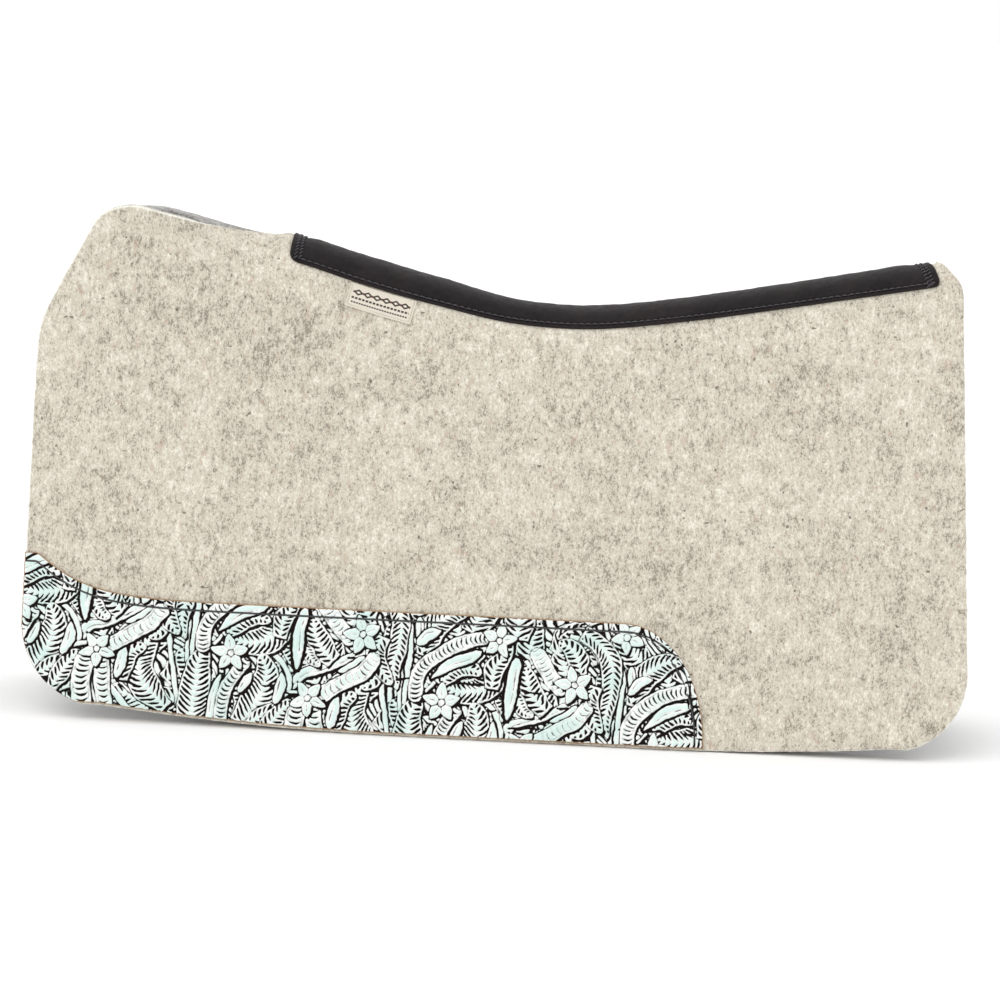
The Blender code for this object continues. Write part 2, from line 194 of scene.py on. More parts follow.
def place_at_height(x, z, n, side):
    return place(x, down_to(x, z), n, side)


def leg_slope(x):
    """How far out the straight part of the felt goes for each unit down."""
    x = np.asarray(x, float)
    _, _, run_out, run_down = outside(x, np.full_like(x, WITHERS_BEND))
    return run_out / run_down


def front_x(z):
    centre_x, centre_z = PAD_FRONT + FRONT_CORNER_RADIUS, BOTTOM_BOW + FRONT_CORNER_RADIUS
    low = centre_x - np.sqrt(np.maximum(0, FRONT_CORNER_RADIUS**2 - (z - centre_z) ** 2))
    lean = FRONT_KNEE_SOFTNESS * np.logaddexp(0, (z - FRONT_KNEE_Z) / FRONT_KNEE_SOFTNESS)
    return np.where(z < centre_z, low, PAD_FRONT + FRONT_LEAN * lean)


def rear_x(z):
    low_z = bottom_z(PAD_REAR - REAR_BOTTOM_RADIUS) + REAR_BOTTOM_RADIUS
    low = PAD_REAR - REAR_BOTTOM_RADIUS + np.sqrt(np.maximum(0, REAR_BOTTOM_RADIUS**2 - (z - low_z) ** 2))
    centre_x = PAD_REAR - REAR_LEAN * (REAR_TOP_CENTRE_Z - low_z) - REAR_TOP_RADIUS
    high = centre_x + np.sqrt(np.maximum(0, REAR_TOP_RADIUS**2 - (z - REAR_TOP_CENTRE_Z) ** 2))
    side = PAD_REAR - REAR_LEAN * (z - low_z)
    return np.where(z < low_z, low, np.where(z > REAR_TOP_CENTRE_Z, high, side))


def unevenness(points, wavelength, seed):
    """Smooth random values of about -1 to 1 over the points, changing over the wavelength."""
    rng = np.random.default_rng(seed)
    waves, spread = 22, 6
    total = np.zeros(points.shape[:-1])
    for _ in range(waves):
        direction = rng.normal(size=3)
        direction *= 2 * math.pi / (wavelength * rng.uniform(0.7, 1.9) * np.linalg.norm(direction))
        total += np.sin(points @ direction + rng.uniform(0, 2 * math.pi))
    return total / spread


# --- Meshes

THREAD_SIDES, STITCH_RINGS = 8, 9
STITCH_TURN, STITCH_SPREAD = 0.05, 0.04  # how much stitches differ: radians, and a share of their length
TINY = 1e-12


def link(name, data):
    obj = bpy.data.objects.new(name, data)
    bpy.context.scene.collection.objects.link(obj)
    return obj


def new_mesh(name, verts, faces, material, floats=None, vectors=None):
    """A smooth-shaded object. faces is a list of arrays, each of faces with one number of corners."""
    mesh = bpy.data.meshes.new(name)
    verts = np.asarray(verts, np.float32)
    faces = [np.asarray(f, np.int32) for f in faces]
    mesh.vertices.add(len(verts))
    mesh.vertices.foreach_set("co", verts.ravel())
    loops = np.concatenate([f.ravel() for f in faces])
    sizes = np.concatenate([np.full(len(f), f.shape[1], np.int32) for f in faces])
    mesh.loops.add(len(loops))
    mesh.loops.foreach_set("vertex_index", loops)
    mesh.polygons.add(len(sizes))
    starts = np.concatenate([[0], np.cumsum(sizes)[:-1]]).astype(np.int32)
    mesh.polygons.foreach_set("loop_start", starts)
    mesh.update(calc_edges=True)
    for group, kind, field in ((floats, "FLOAT", "value"), (vectors, "FLOAT_VECTOR", "vector")):
        for key, values in (group or {}).items():
            made = mesh.attributes.new(key, kind, "POINT")
            made.data.foreach_set(field, np.asarray(values, np.float32).ravel())
    mesh.polygons.foreach_set("use_smooth", np.ones(len(sizes), bool))
    mesh.materials.append(material)
    return link(name, mesh)


def grid_faces(rows, columns, offset=0, flip=False):
    """The quads of a grid of vertices that starts at the offset."""
    r, c = np.meshgrid(np.arange(rows - 1), np.arange(columns - 1), indexing="ij")
    a = (r * columns + c).ravel() + offset
    quads = np.stack([a, a + 1, a + columns + 1, a + columns], -1)
    return quads[:, ::-1] if flip else quads


def loop_of(rows, columns):
    """The indices round the edge of a grid."""
    index = np.arange(rows * columns).reshape(rows, columns)
    return np.concatenate([index[0], index[1:, -1], index[-1, -2::-1], index[-2:0:-1, 0]])


def band(a, b, flip=False):
    """Quads between two closed loops of vertex indices."""
    quads = np.stack([a, np.roll(a, -1), np.roll(b, -1), b], -1)
    return quads[:, ::-1] if flip else quads


def tube_verts(path, radius, flatten=1.0, up=(0, 0, 1)):
    """Rings round a path. radius may be one number or one a point. flatten shrinks the rings along up."""
    path = np.asarray(path, float)
    tangent = unit(np.gradient(path, axis=0), TINY)
    across = unit(np.cross(tangent, np.broadcast_to(np.asarray(up, float), path.shape)), TINY)
    up = np.cross(across, tangent)
    angle = (np.arange(THREAD_SIDES) / THREAD_SIDES * 2 * math.pi)[None, :, None]
    radius = np.broadcast_to(np.asarray(radius, float), (len(path),))[:, None, None]
    ring = across[:, None, :] * np.cos(angle) + up[:, None, :] * np.sin(angle) * flatten
    return path[:, None, :] + ring * radius


def tube_faces(rings, offset=0):
    """The sides and the two caps of a tube of this many rings."""
    index = np.arange(rings * THREAD_SIDES).reshape(rings, THREAD_SIDES) + offset
    return [band(a, b, True) for a, b in zip(index[:-1], index[1:])] + [index[:1], index[-1:, ::-1]]


def stitches(name, centres, along, normals, length, radius, material, slant=0.0, sink=0.25 * MM):
    """A row of separate stitches, each a short plump thread that dips into the leather at its two ends."""
    verts, faces, tints = [], [], []
    t = np.linspace(-1, 1, STITCH_RINGS)
    size = radius * (1 - 0.45 * np.abs(t) ** 3)
    lift = sink - (sink + radius * 1.5) * np.abs(t) ** 4
    for centre, direction, normal in zip(centres, unit(along), unit(normals)):
        turn = slant + RNG.normal(0, STITCH_TURN)
        direction = direction * math.cos(turn) + np.cross(normal, direction) * math.sin(turn)
        span = length / 2 * (1 + RNG.normal(0, STITCH_SPREAD))
        path = centre + direction * (t * span)[:, None] + normal * lift[:, None]
        faces += tube_faces(STITCH_RINGS, len(verts) * STITCH_RINGS * THREAD_SIDES)
        verts.append(tube_verts(path, size, 0.8, normal).reshape(-1, 3))
        tints.append(np.full(STITCH_RINGS * THREAD_SIDES, RNG.uniform()))
    verts = np.concatenate(verts)
    return new_mesh(name, verts, faces, material, {"tint": np.concatenate(tints)}, {"rest": verts})


def thread_line(name, path, radius, material):
    """A long thread in one piece."""
    verts = tube_verts(path, radius).reshape(-1, 3)
    return new_mesh(name, verts, tube_faces(len(path)), material, vectors={"rest": verts})


def follow_fold(obj, word):
    """Bakes the piece's placement into its mesh."""
    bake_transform(obj)


def stand_for(obj, node):
    """The piece stands for a CAD node, whose imported part it hides."""
    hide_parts(node)


# --- Materials


class Nodes:
    """Short calls for building a material's nodes."""

    def __init__(self, name):
        self.material = bpy.data.materials.new(name)
        self.material.use_nodes = True
        self.tree = self.material.node_tree
        self.shader = self.tree.nodes["Principled BSDF"]

    def add(self, kind, inputs=None, **settings):
        node = self.tree.nodes.new(kind)
        for key, value in settings.items():
            setattr(node, key, value)
        for key, value in (inputs or {}).items():
            self.put(node.inputs[key], value)
        return node

    def put(self, socket, value):
        if isinstance(value, bpy.types.NodeSocket):
            self.tree.links.new(value, socket)
        else:
            socket.default_value = (*value, 1) if socket.type == "RGBA" else value

    def attribute(self, name, output="Vector"):
        return self.add("ShaderNodeAttribute", attribute_name=name).outputs[output]

    def noise(self, vector, scale, detail=2.0, roughness=0.5):
        inputs = {"Vector": vector, "Scale": scale, "Detail": detail, "Roughness": roughness}
        return self.add("ShaderNodeTexNoise", inputs).outputs["Fac"]

    def stretched(self, vector, factors):
        return self.add("ShaderNodeVectorMath", {0: vector, 1: factors}, operation="MULTIPLY").outputs[0]

    def ramp(self, value, low, high, to_low=0.0, to_high=1.0):
        inputs = {"Value": value, "From Min": low, "From Max": high, "To Min": to_low, "To Max": to_high}
        return self.add("ShaderNodeMapRange", inputs, interpolation_type="SMOOTHSTEP").outputs[0]

    def math(self, operation, *values):
        return self.add("ShaderNodeMath", dict(enumerate(values)), operation=operation).outputs[0]

    def mix(self, amount, a, b):
        inputs = {"Factor": amount, "A": a, "B": b}
        return self.add("ShaderNodeMix", inputs, data_type="RGBA").outputs["Result"]

    def wave(self, vector, direction, scale, **inputs):
        inputs = {"Vector": vector, "Scale": scale, **inputs}
        return self.add("ShaderNodeTexWave", inputs, bands_direction=direction).outputs["Fac"]

    def bump(self, height, distance, strength=1.0):
        inputs = {"Height": height, "Distance": distance, "Strength": strength}
        return self.add("ShaderNodeBump", inputs).outputs[0]

    def set(self, **values):
        for key, value in values.items():
            self.put(self.shader.inputs[key.replace("_", " ")], value)


def felt_material():
    m = Nodes("felt_wool")
    at = m.attribute("rest")
    upright = m.stretched(at, (1, 1, 0.6))
    fibres = m.noise(upright, 1000, 1.0, 0.6)
    flecks = m.noise(upright, 430, 1.5, 0.6)
    tufts = m.noise(m.stretched(at, (1, 1, 0.5)), 190, 1.0, 0.5)
    mottle = m.noise(at, 75, 1.0, 0.5)
    clouds = m.noise(at, 17, 2.0, 0.5)
    layers = ((fibres, 0.78), (flecks, 0.7), (tufts, 0.40), (mottle, 0.30), (clouds, 0.32))
    shade = 0.5 - sum(weight for _, weight in layers) / 2
    for layer, weight in layers:
        shade = m.math("MULTIPLY_ADD", layer, weight, shade)
    colour = m.mix(m.ramp(shade, 0.52, 0.20), (0.585, 0.54, 0.447), (0.27, 0.24, 0.195))
    colour = m.mix(m.ramp(shade, 0.5, 0.85), colour, (0.80, 0.765, 0.665))
    ruddy = m.noise(upright, 150, 1.0, 0.5)
    colour = m.mix(m.ramp(ruddy, 0.64, 0.76, 0.0, 0.4), colour, (0.47, 0.33, 0.25))
    specks = m.noise(at, 240, 0.0, 0.4)
    colour = m.mix(m.ramp(specks, 0.82, 0.86, 0.0, 0.75), colour, (0.10, 0.075, 0.06))
    # The inside is a greyer wool, darkened further as painted shade
    painted_shade_grey = m.mix(m.ramp(shade, 0.25, 0.7), (0.20, 0.195, 0.187), (0.43, 0.42, 0.40))
    colour = m.mix(m.attribute("inside", "Fac"), colour, painted_shade_grey)
    # The cut edges show a paler core, brightened further as a painted highlight where light catches them
    pale_core_and_highlight = m.mix(m.ramp(shade, 0.25, 0.7), (0.60, 0.565, 0.49), (0.90, 0.88, 0.81))
    colour = m.mix(m.attribute("cut", "Fac"), colour, pale_core_and_highlight)
    height = m.math("ADD", m.math("MULTIPLY", fibres, 0.5), m.math("MULTIPLY", flecks, 0.8))
    m.set(Base_Color=colour, Roughness=1.0, Normal=m.bump(height, 0.0009, 0.6))
    m.set(Sheen_Weight=0.2, Sheen_Roughness=0.6, Specular_IOR_Level=0.1)
    return m.material


def fibre_material():
    m = Nodes("loose_wool")
    tint = m.attribute("tint", "Fac")
    colour = m.mix(tint, (0.45, 0.4, 0.32), (0.86, 0.82, 0.73))
    m.set(Base_Color=colour, Roughness=1.0, Specular_IOR_Level=0.1)
    return m.material


def spine_leather_material():
    m = Nodes("black_leather")
    at = m.attribute("rest")
    wear_and_crown_highlight = m.attribute("wear_and_crown_highlight", "Fac")
    cells = m.add("ShaderNodeTexVoronoi", {"Vector": at, "Scale": 1100}, feature="DISTANCE_TO_EDGE")
    grain = cells.outputs[0]
    creases = m.noise(m.stretched(at, (0.5, 1, 1)), 240, 5, 0.65)
    clouds = m.noise(at, 30, 3, 0.6)
    colour = m.mix(m.ramp(clouds, 0.3, 0.7), (0.0050, 0.0032, 0.0036), (0.0115, 0.0078, 0.0085))
    # Rubbed lighter near the edges as wear, and lighter along the crown as a painted highlight
    rubbed_and_highlight = m.math("MULTIPLY", wear_and_crown_highlight, m.ramp(creases, 0.35, 0.7, 0.2, 1.0))
    colour = m.mix(rubbed_and_highlight, colour, (0.045, 0.033, 0.033))
    height = m.math("ADD", m.ramp(grain, 0.0, 0.25, 0.0, 0.5), creases)
    rough = m.ramp(creases, 0.3, 0.75, 0.46, 0.66)
    m.set(Base_Color=colour, Roughness=rough, Normal=m.bump(height, 0.0004, 0.6), Specular_IOR_Level=0.2)
    return m.material


def tooled_leather_material():
    m = Nodes("tooled_leather")
    at = m.attribute("rest")
    face = m.attribute("face", "Fac")
    grain = m.noise(at, 1300, 3, 0.6)
    wear = m.noise(at, 330, 3, 0.65)
    clouds = m.noise(at, 60, 2, 0.5)
    smudge = m.noise(at, 150, 3, 0.6)
    line = m.math("ADD", face, m.math("MULTIPLY", m.math("SUBTRACT", wear, 0.5), 0.8))
    raised = m.ramp(line, -0.36, 0.10)
    tint = m.math("MULTIPLY", m.ramp(face, 0.35, 1.5), m.ramp(clouds, 0.30, 0.56, 0.25, 1.0))
    light = m.mix(tint, (0.90, 0.91, 0.89), (0.67, 0.81, 0.775))
    light = m.mix(m.ramp(wear, 0.56, 0.72, 0.0, 0.35), light, (0.38, 0.46, 0.43))
    hollow = m.math("MULTIPLY", m.ramp(face, 0.6, 0.1), m.ramp(smudge, 0.46, 0.64, 0.0, 0.65))
    light = m.mix(hollow, light, (0.26, 0.31, 0.285))
    dark = m.mix(m.ramp(face, -0.4, -1.2), (0.0015, 0.0015, 0.0012), (0.008, 0.004, 0.003))
    # Airbrushed shades of mint drift over the motifs
    drift = m.noise(at, 34, 1.0, 0.4)
    light = m.mix(m.ramp(drift, 0.52, 0.68, 0.0, 0.65), light, (0.60, 0.76, 0.72))
    colour = m.mix(raised, dark, light)
    seam = m.math("ABSOLUTE", m.attribute("seam", "Fac"))
    colour = m.mix(m.ramp(seam, 1.15, 0.5, 0.0, 0.95), colour, (0.02, 0.02, 0.018))
    rim = m.math("ADD", m.attribute("edge", "Fac"), m.math("MULTIPLY", wear, 0.8))
    colour = m.mix(m.ramp(rim, 1.35, 0.85), colour, (0.36, 0.215, 0.11))
    rough = m.mix(raised, (0.7, 0.7, 0.7), (0.4, 0.4, 0.4))
    m.set(Base_Color=colour, Roughness=rough, Normal=m.bump(m.math("ADD", grain, wear), 0.00025, 0.5))
    m.set(Specular_IOR_Level=0.09)
    return m.material


def thread_material(name, dark, light, roughness):
    m = Nodes(name)
    at = m.attribute("rest")
    plies = m.wave(at, "DIAGONAL", 900, Distortion=2.0)
    colour = m.mix(plies, dark, light)
    m.set(Base_Color=colour, Roughness=roughness, Normal=m.bump(plies, 0.0002, 0.6), Sheen_Weight=0.3)
    return m.material


def label_material():
    m = Nodes("woven_label")
    at = m.attribute("weave")
    ink = m.attribute("ink", "Fac")
    weave = m.math("MULTIPLY", m.wave(at, "X", 620), m.wave(at, "Y", 480))
    cloth = m.mix(m.noise(at, 90, 3), (0.76, 0.69, 0.57), (0.83, 0.78, 0.69))
    cloth = m.mix(m.ramp(weave, 0.0, 0.5, 0.0, 1.0), m.mix(0.25, cloth, (0.45, 0.40, 0.31)), cloth)
    colour = m.mix(m.ramp(m.attribute("red", "Fac"), -0.08, 0.08), cloth, (0.32, 0.10, 0.085))
    colour = m.mix(m.ramp(ink, -0.08, 0.08), colour, (0.045, 0.03, 0.025))
    m.set(Base_Color=colour, Roughness=0.85, Normal=m.bump(weave, 0.0003, 0.6), Sheen_Weight=0.2)
    return m.material


FELT_WOOL = felt_material()
LOOSE_WOOL = fibre_material()
BLACK_LEATHER = spine_leather_material()
TOOLED_LEATHER = tooled_leather_material()
BLACK_THREAD = thread_material("black_thread", (0.008, 0.006, 0.009), (0.060, 0.050, 0.064), 0.55)
NATURAL_THREAD = thread_material("natural_thread", (0.42, 0.37, 0.28), (0.68, 0.63, 0.52), 0.8)
LABEL_CLOTH = label_material()

# --- The felt panels

FELT_COLUMNS, UPPER_ROWS, LOWER_ROWS = 256, 104, 30
LOWER_SHARE = 0.20  # of a panel, from its floor up, where the rows are closer together for its round corners
ROUNDING = 1.8 * MM  # of the cut edges
CUT_BULGE = 0.5 * MM  # the middle of a cut edge past its rounding
SAG, SAG_X, SAG_REACH = 2.0 * MM, -260 * MM, 26 * MM  # behind the peak of the withers
FRONT_RISE = {-1: 2.8 * MM, 1: -1.5 * MM}  # of each panel's top edge, ahead of that
FRONT_RISE_X, FRONT_RISE_RAMP = -282 * MM, 28 * MM
LEFT_CORNER_X, LEFT_CORNER_RAMP = -337 * MM, 24 * MM  # the left panel's front top corner doesn't rise
TOP_REACH = 40 * MM  # how far down the felt the sag and the rise fade
STILL_TOP = 45 * MM  # no lumps at the top edge, which the strip covers
STILL_LOW, STILL_RAMP = 150 * MM, 20 * MM  # nor low on the outside, where the wear leathers lie


def panel_rows():
    """Shares of the way down a panel."""
    upper = np.linspace(0, 1, UPPER_ROWS)[:-1] * (1 - LOWER_SHARE)
    lower = 1 - LOWER_SHARE * (1 - np.sin(np.linspace(0, math.pi / 2, LOWER_ROWS)))
    return np.concatenate([upper, lower])


def row_heights(x, share):
    """The s of each row at x."""
    return ROUNDING + share * (down_to(x, bottom_z(x)) - 2 * ROUNDING)


def edge_of_rows(shares, edge, low, high):
    """The x at which each row meets the front or rear edge, by halving."""
    low, high = np.full_like(shares, low), np.full_like(shares, high)
    for _ in range(EDGE_PASSES):
        middle = (low + high) / 2
        down = row_heights(middle, shares)
        beyond = middle > edge(place(middle, down, 0, 1)[:, 2] - sprung(middle, down))
        low, high = np.where(beyond, low, middle), np.where(beyond, middle, high)
    return (low + high) / 2


def felt_faces(side):
    """A panel's outside and inside, as grids of points that stop where the rounding of its edges starts."""
    shares = panel_rows()
    front = edge_of_rows(shares, front_x, PAD_FRONT - 5 * MM, -250 * MM) + ROUNDING
    rear = edge_of_rows(shares, rear_x, 250 * MM, PAD_REAR + 5 * MM) - ROUNDING
    x = front[:, None] + (rear - front)[:, None] * np.linspace(0, 1, FELT_COLUMNS)
    share = np.broadcast_to(shares[:, None], x.shape)
    s = row_heights(x, share)
    outer = place(x, s, 0, side)
    inner = place(x, np.maximum(s - share * FELT * leg_slope(x), 0.2 * MM), -FELT, side)
    lumps = 0.45 * unevenness(outer, 0.09, 3 + side) + 0.14 * unevenness(outer, 0.012, 5 + side)
    inner_lumps = 0.4 * unevenness(inner, 0.07, 11 + side)
    facing = unit(outer - place(x, s, -MM, side))
    lumpy = np.minimum(smooth(s / STILL_TOP), 1)[..., None]
    bare = smooth((outer[..., 2] - STILL_LOW) / STILL_RAMP)[..., None]
    outer = outer + facing * (lumps[..., None] * MM) * lumpy * bare
    inner = inner - facing * (inner_lumps[..., None] * MM) * lumpy
    rise = smooth((FRONT_RISE_X - x) / FRONT_RISE_RAMP) * FRONT_RISE[side]
    if side < 0:
        rise = rise * smooth((x - LEFT_CORNER_X) / LEFT_CORNER_RAMP)
    lift = (rise - SAG * bell(x - SAG_X, SAG_REACH)) * bell(s, TOP_REACH)
    outer[..., 2] += lift
    inner[..., 2] += lift
    return outer, inner


def cut_profile():
    """The rings round a cut edge: how far each stands out, and its depth from the outside of the felt."""
    angles = np.linspace(0, math.pi / 2, 5)[1:]
    turn = [(ROUNDING * math.sin(a), ROUNDING * (1 - math.cos(a))) for a in angles]
    flat = [(ROUNDING + CUT_BULGE * math.sin(math.pi * t), FELT * t) for t in np.linspace(0.2, 0.8, 4)]
    return turn + flat + [(outward, FELT - depth) for outward, depth in turn[::-1]]


def felt_panel(side, word):
    """Makes a panel. Returns its outer rim, its inner rim, and the directions out of its edge there."""
    outer, inner = felt_faces(side)
    rows, columns = outer.shape[:2]
    count = rows * columns
    rim = loop_of(rows, columns)
    outer, inner = outer.reshape(-1, 3), inner.reshape(-1, 3)
    a, b = outer[rim], inner[rim]
    away = unit(np.cross(np.roll(a, -1, 0) - np.roll(a, 1, 0), a - b))
    away *= np.sign(np.sum((a - outer.mean(0)) * away, axis=1).sum())
    # At the withers the right panel's cut edge is painted grey right through as shade, and the left one's keeps
    # its pale line, a painted highlight
    painted_shade_grey = smooth((-200 * MM - a[:, 0]) / (12 * MM)) * smooth((a[:, 2] - 380 * MM) / (8 * MM)) * (side > 0)
    verts, inside, cut = [outer, inner], [np.zeros(count), np.ones(count)], [np.zeros(2 * count)]
    faces = [grid_faces(rows, columns, 0, side < 0), grid_faces(rows, columns, count, side > 0)]
    previous, total = rim, 2 * count
    for k, (outward, depth) in enumerate(cut_profile()):
        ring = a + away * outward + (b - a) / FELT * depth
        fuzz = 0.22 * unevenness(ring, 0.007, 40 + k) + 0.2 * unevenness(ring, 0.04, 80 + k)
        at_seam = (a[:, 2] > 330 * MM) & (np.abs(ring[:, 1]) < 6 * MM)
        fuzz = fuzz * np.where(at_seam, 0.0, 1.0)
        ring = ring + away * (fuzz * MM)[:, None]
        ring[:, 1] = np.where(ring[:, 1] * side < SEAM_GAP / 2, side * SEAM_GAP / 2, ring[:, 1])
        verts.append(ring)
        # inside: the greyer inner wool, darkened as painted shade, and the painted shade on the right panel's
        # cut edge at the withers
        inside.append(np.maximum(painted_shade_grey, smooth((depth - 3 * MM) / (11 * MM))))
        # cut: the paler core of the cut edges, brightened as a painted highlight
        cut.append((1 - painted_shade_grey) * smooth((8 * MM - depth) / (6 * MM)) * (depth > 0.3 * MM))
        index = np.arange(len(rim)) + total
        faces.append(band(previous, index, side > 0))
        previous, total = index, total + len(rim)
    faces.append(band(previous, rim + count, side > 0))
    verts = np.concatenate(verts)
    verts[:, 2] = np.maximum(verts[:, 2], 0.0)
    floats = {"inside": np.concatenate(inside), "cut": np.concatenate(cut)}
    obj = new_mesh(f"felt_pad_{word}", verts, faces, FELT_WOOL, floats, {"rest": verts})
    follow_fold(obj, word)
    stand_for(obj, f"felt_panel_{word}")
    return a, b, away


LOOSE_FIBRES, LONGEST_FIBRE = 9000, 2.6 * MM  # a panel


def loose_wool(side, word, a, b, away):
    """Short fibres that stand out of the cut edges."""
    rng = np.random.default_rng(17 + side)
    at = rng.integers(0, len(a), LOOSE_FIBRES)
    t = rng.uniform(0.0, 1.0, LOOSE_FIBRES)
    slide = rng.uniform(0, 1, LOOSE_FIBRES)[:, None]
    outer_at, inner_at = (rim[at] * (1 - slide) + np.roll(rim, -1, 0)[at] * slide for rim in (a, b))
    rounding = np.sqrt(np.clip(1 - (np.maximum(0, np.abs(t - 0.5) - 0.38) / 0.12) ** 2, 0, 1))
    out = away[at] * (ROUNDING * rounding * 0.96)[:, None]
    base = outer_at * (1 - t)[:, None] + inner_at * t[:, None] + out
    # None under the pad or at the seam
    keep = (base[:, 2] > 3.2 * MM) & ((np.abs(base[:, 1]) > 8 * MM) | (base[:, 0] < SEAM_FRONT))
    base, outward = base[keep], away[at][keep]
    count = len(base)
    direction = unit(outward + rng.normal(0, 0.55, (count, 3)))
    curl = rng.normal(0, 0.6, (count, 3))
    length = np.minimum(rng.gamma(2.2, 0.55, count)[:, None] * MM, LONGEST_FIBRE)
    width = rng.uniform(0.03, 0.07, count)[:, None] * MM
    cross = unit(np.cross(direction, rng.normal(size=(count, 3)))) * width
    middle = base + direction * length * 0.5 + curl * length * 0.12
    tip = base + direction * length * 0.9 + curl * length * 0.4
    tip[:, 2] = np.maximum(tip[:, 2], 0.3 * MM)
    verts = [base - cross, base + cross, middle - cross * 0.8, middle + cross * 0.8, tip]
    start = np.arange(count)[:, None] * 5
    faces = [start + np.array([[0, 1, 3, 2]]), start + np.array([[2, 3, 4]])]
    tint = np.repeat(rng.uniform(0, 1, count), 5)
    obj = new_mesh(f"loose_wool_{word}", np.stack(verts, 1).reshape(-1, 3), faces, LOOSE_WOOL, {"tint": tint})
    follow_fold(obj, word)


for side, word in SIDES:
    loose_wool(side, word, *felt_panel(side, word))

# --- The spine leather, with its sewing

STRIP_THICKNESS, STRIP_UNDER = 2.5 * MM, 0.15 * MM  # its underside's height over the felt
STRIP_CORNER = 7 * MM
STRIP_COLUMNS, STRIP_ROWS, STRIP_ROW_POWER = 760, 73, 0.85  # the power brings the rows together at its edges
STITCH_INSET, STITCH_PITCH, STITCH_LENGTH = 3.2 * MM, 5.4 * MM, 4.6 * MM
TACK_PITCH, TACK_COLUMNS, TACK_COLUMN_GAP, TACK_STAGGER = 3.2 * MM, 2, 3.5 * MM, 1.2 * MM
TACK_SLANT, TACK_LENGTH = 0.8, 4.2 * MM
STITCH_RADIUS, LONG_THREAD_RADIUS = 0.55 * MM, 0.5 * MM
THREAD_POINTS = 300


def strip_half_width(x):
    return through(STRIP_HALF_WIDTHS, x)


def strip_ends(share):
    """The x of its front and rear ends, at a share of the way from the crown to its edge."""
    half = strip_half_width(STRIP_FRONT)
    past = np.maximum(0, np.abs(share) * half - (half - STRIP_CORNER))
    rounding = STRIP_CORNER - np.sqrt(np.maximum(0, STRIP_CORNER**2 - past**2))
    down = np.abs(share) * half
    return STRIP_FRONT - STRIP_FRONT_RAKE * down + rounding, STRIP_REAR + STRIP_REAR_RAKE * down - rounding


def strip_at(x, across, n):
    """A point on the strip: across is the distance from the crown, negative on the left."""
    side = np.where(across < 0, -1.0, 1.0)
    point = place(x, np.abs(across), n, side)
    closed = point[..., 1] - side * SEAM_GAP * np.exp(-np.abs(across) / (4 * MM))
    point[..., 1] = np.where(np.abs(across) < 1e-9, 0.0, closed)
    return point


def spine_leather():
    share = np.linspace(-1, 1, STRIP_ROWS)
    share = np.sign(share) * np.abs(share) ** STRIP_ROW_POWER
    front, rear = strip_ends(share)
    x = front[:, None] + (rear - front)[:, None] * np.linspace(0, 1, STRIP_COLUMNS)
    across = share[:, None] * strip_half_width(x)
    from_edge = strip_half_width(x) - np.abs(across)
    from_front, from_rear = x - front[:, None], rear[:, None] - x
    edge = np.minimum(np.minimum(from_edge, from_front), from_rear)
    wave = 2 * math.pi * x / STITCH_PITCH
    # All of the relief is in mm
    groove = bell(from_edge - STITCH_INSET, 1.0 * MM) * (0.75 + 0.45 * (0.5 + 0.5 * np.cos(wave)))
    ends = 0.7 * np.minimum(bell(from_front - 6.8 * MM, 3.4 * MM) + bell(from_rear - 8 * MM, 3.6 * MM), 1)
    roll = 1.1 * (1 - np.exp(-np.maximum(edge, 0) / (0.8 * MM))) - 1.1
    dome = 0.9 * smooth(from_edge / (15 * MM))
    dome = dome * smooth(from_front / (12 * MM) - 0.7) * smooth(from_rear / (12 * MM) - 0.9)
    lip = 0.3 * bell(from_edge - 1.4 * MM, 0.8 * MM)
    pucker = 0.16 * np.sin(wave + 1.0) * smooth((13 * MM - from_edge) / (8 * MM))
    at = np.stack([x, across, np.zeros_like(x)], -1)
    wrinkle = 0.3 * unevenness(at * np.array([1, 0.6, 1]), 0.022, 21) + 0.1 * unevenness(at, 0.006, 22)
    relief = roll + dome + lip + pucker + wrinkle - groove - ends
    top = strip_at(x, across, ON_FELT + STRIP_THICKNESS + relief * MM)
    bottom = strip_at(x, across, STRIP_UNDER)
    rows, columns = x.shape
    rim = loop_of(rows, columns)
    verts = np.concatenate([top.reshape(-1, 3), bottom.reshape(-1, 3)[rim]])
    low = np.arange(len(rim)) + rows * columns
    faces = [grid_faces(rows, columns), band(rim, low, True)]
    # Rubbed near the edges and ends as wear, and lighter along the crown as a painted highlight
    wear_and_crown_highlight = smooth(1 - edge / (1.6 * MM)) * 0.5 + 0.3 * smooth(1.5 - np.abs(across) / (14 * MM))
    wear_and_crown_highlight = np.concatenate([wear_and_crown_highlight.ravel(), np.full(len(rim), 0.5)])
    obj = new_mesh("spine_strip", verts, faces, BLACK_LEATHER, {"wear_and_crown_highlight": wear_and_crown_highlight}, {"rest": verts})
    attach(obj, "spine")
    stand_for(obj, "spine_leather")


def strip_normal(x, across):
    return strip_at(x, across, MM) - strip_at(x, across, 0)


def strip_row_at(x, side):
    """A point of the row of sewing along the strip's edge on a side."""
    return strip_at(x, side * (strip_half_width(x) - STITCH_INSET), ON_FELT + STRIP_THICKNESS)


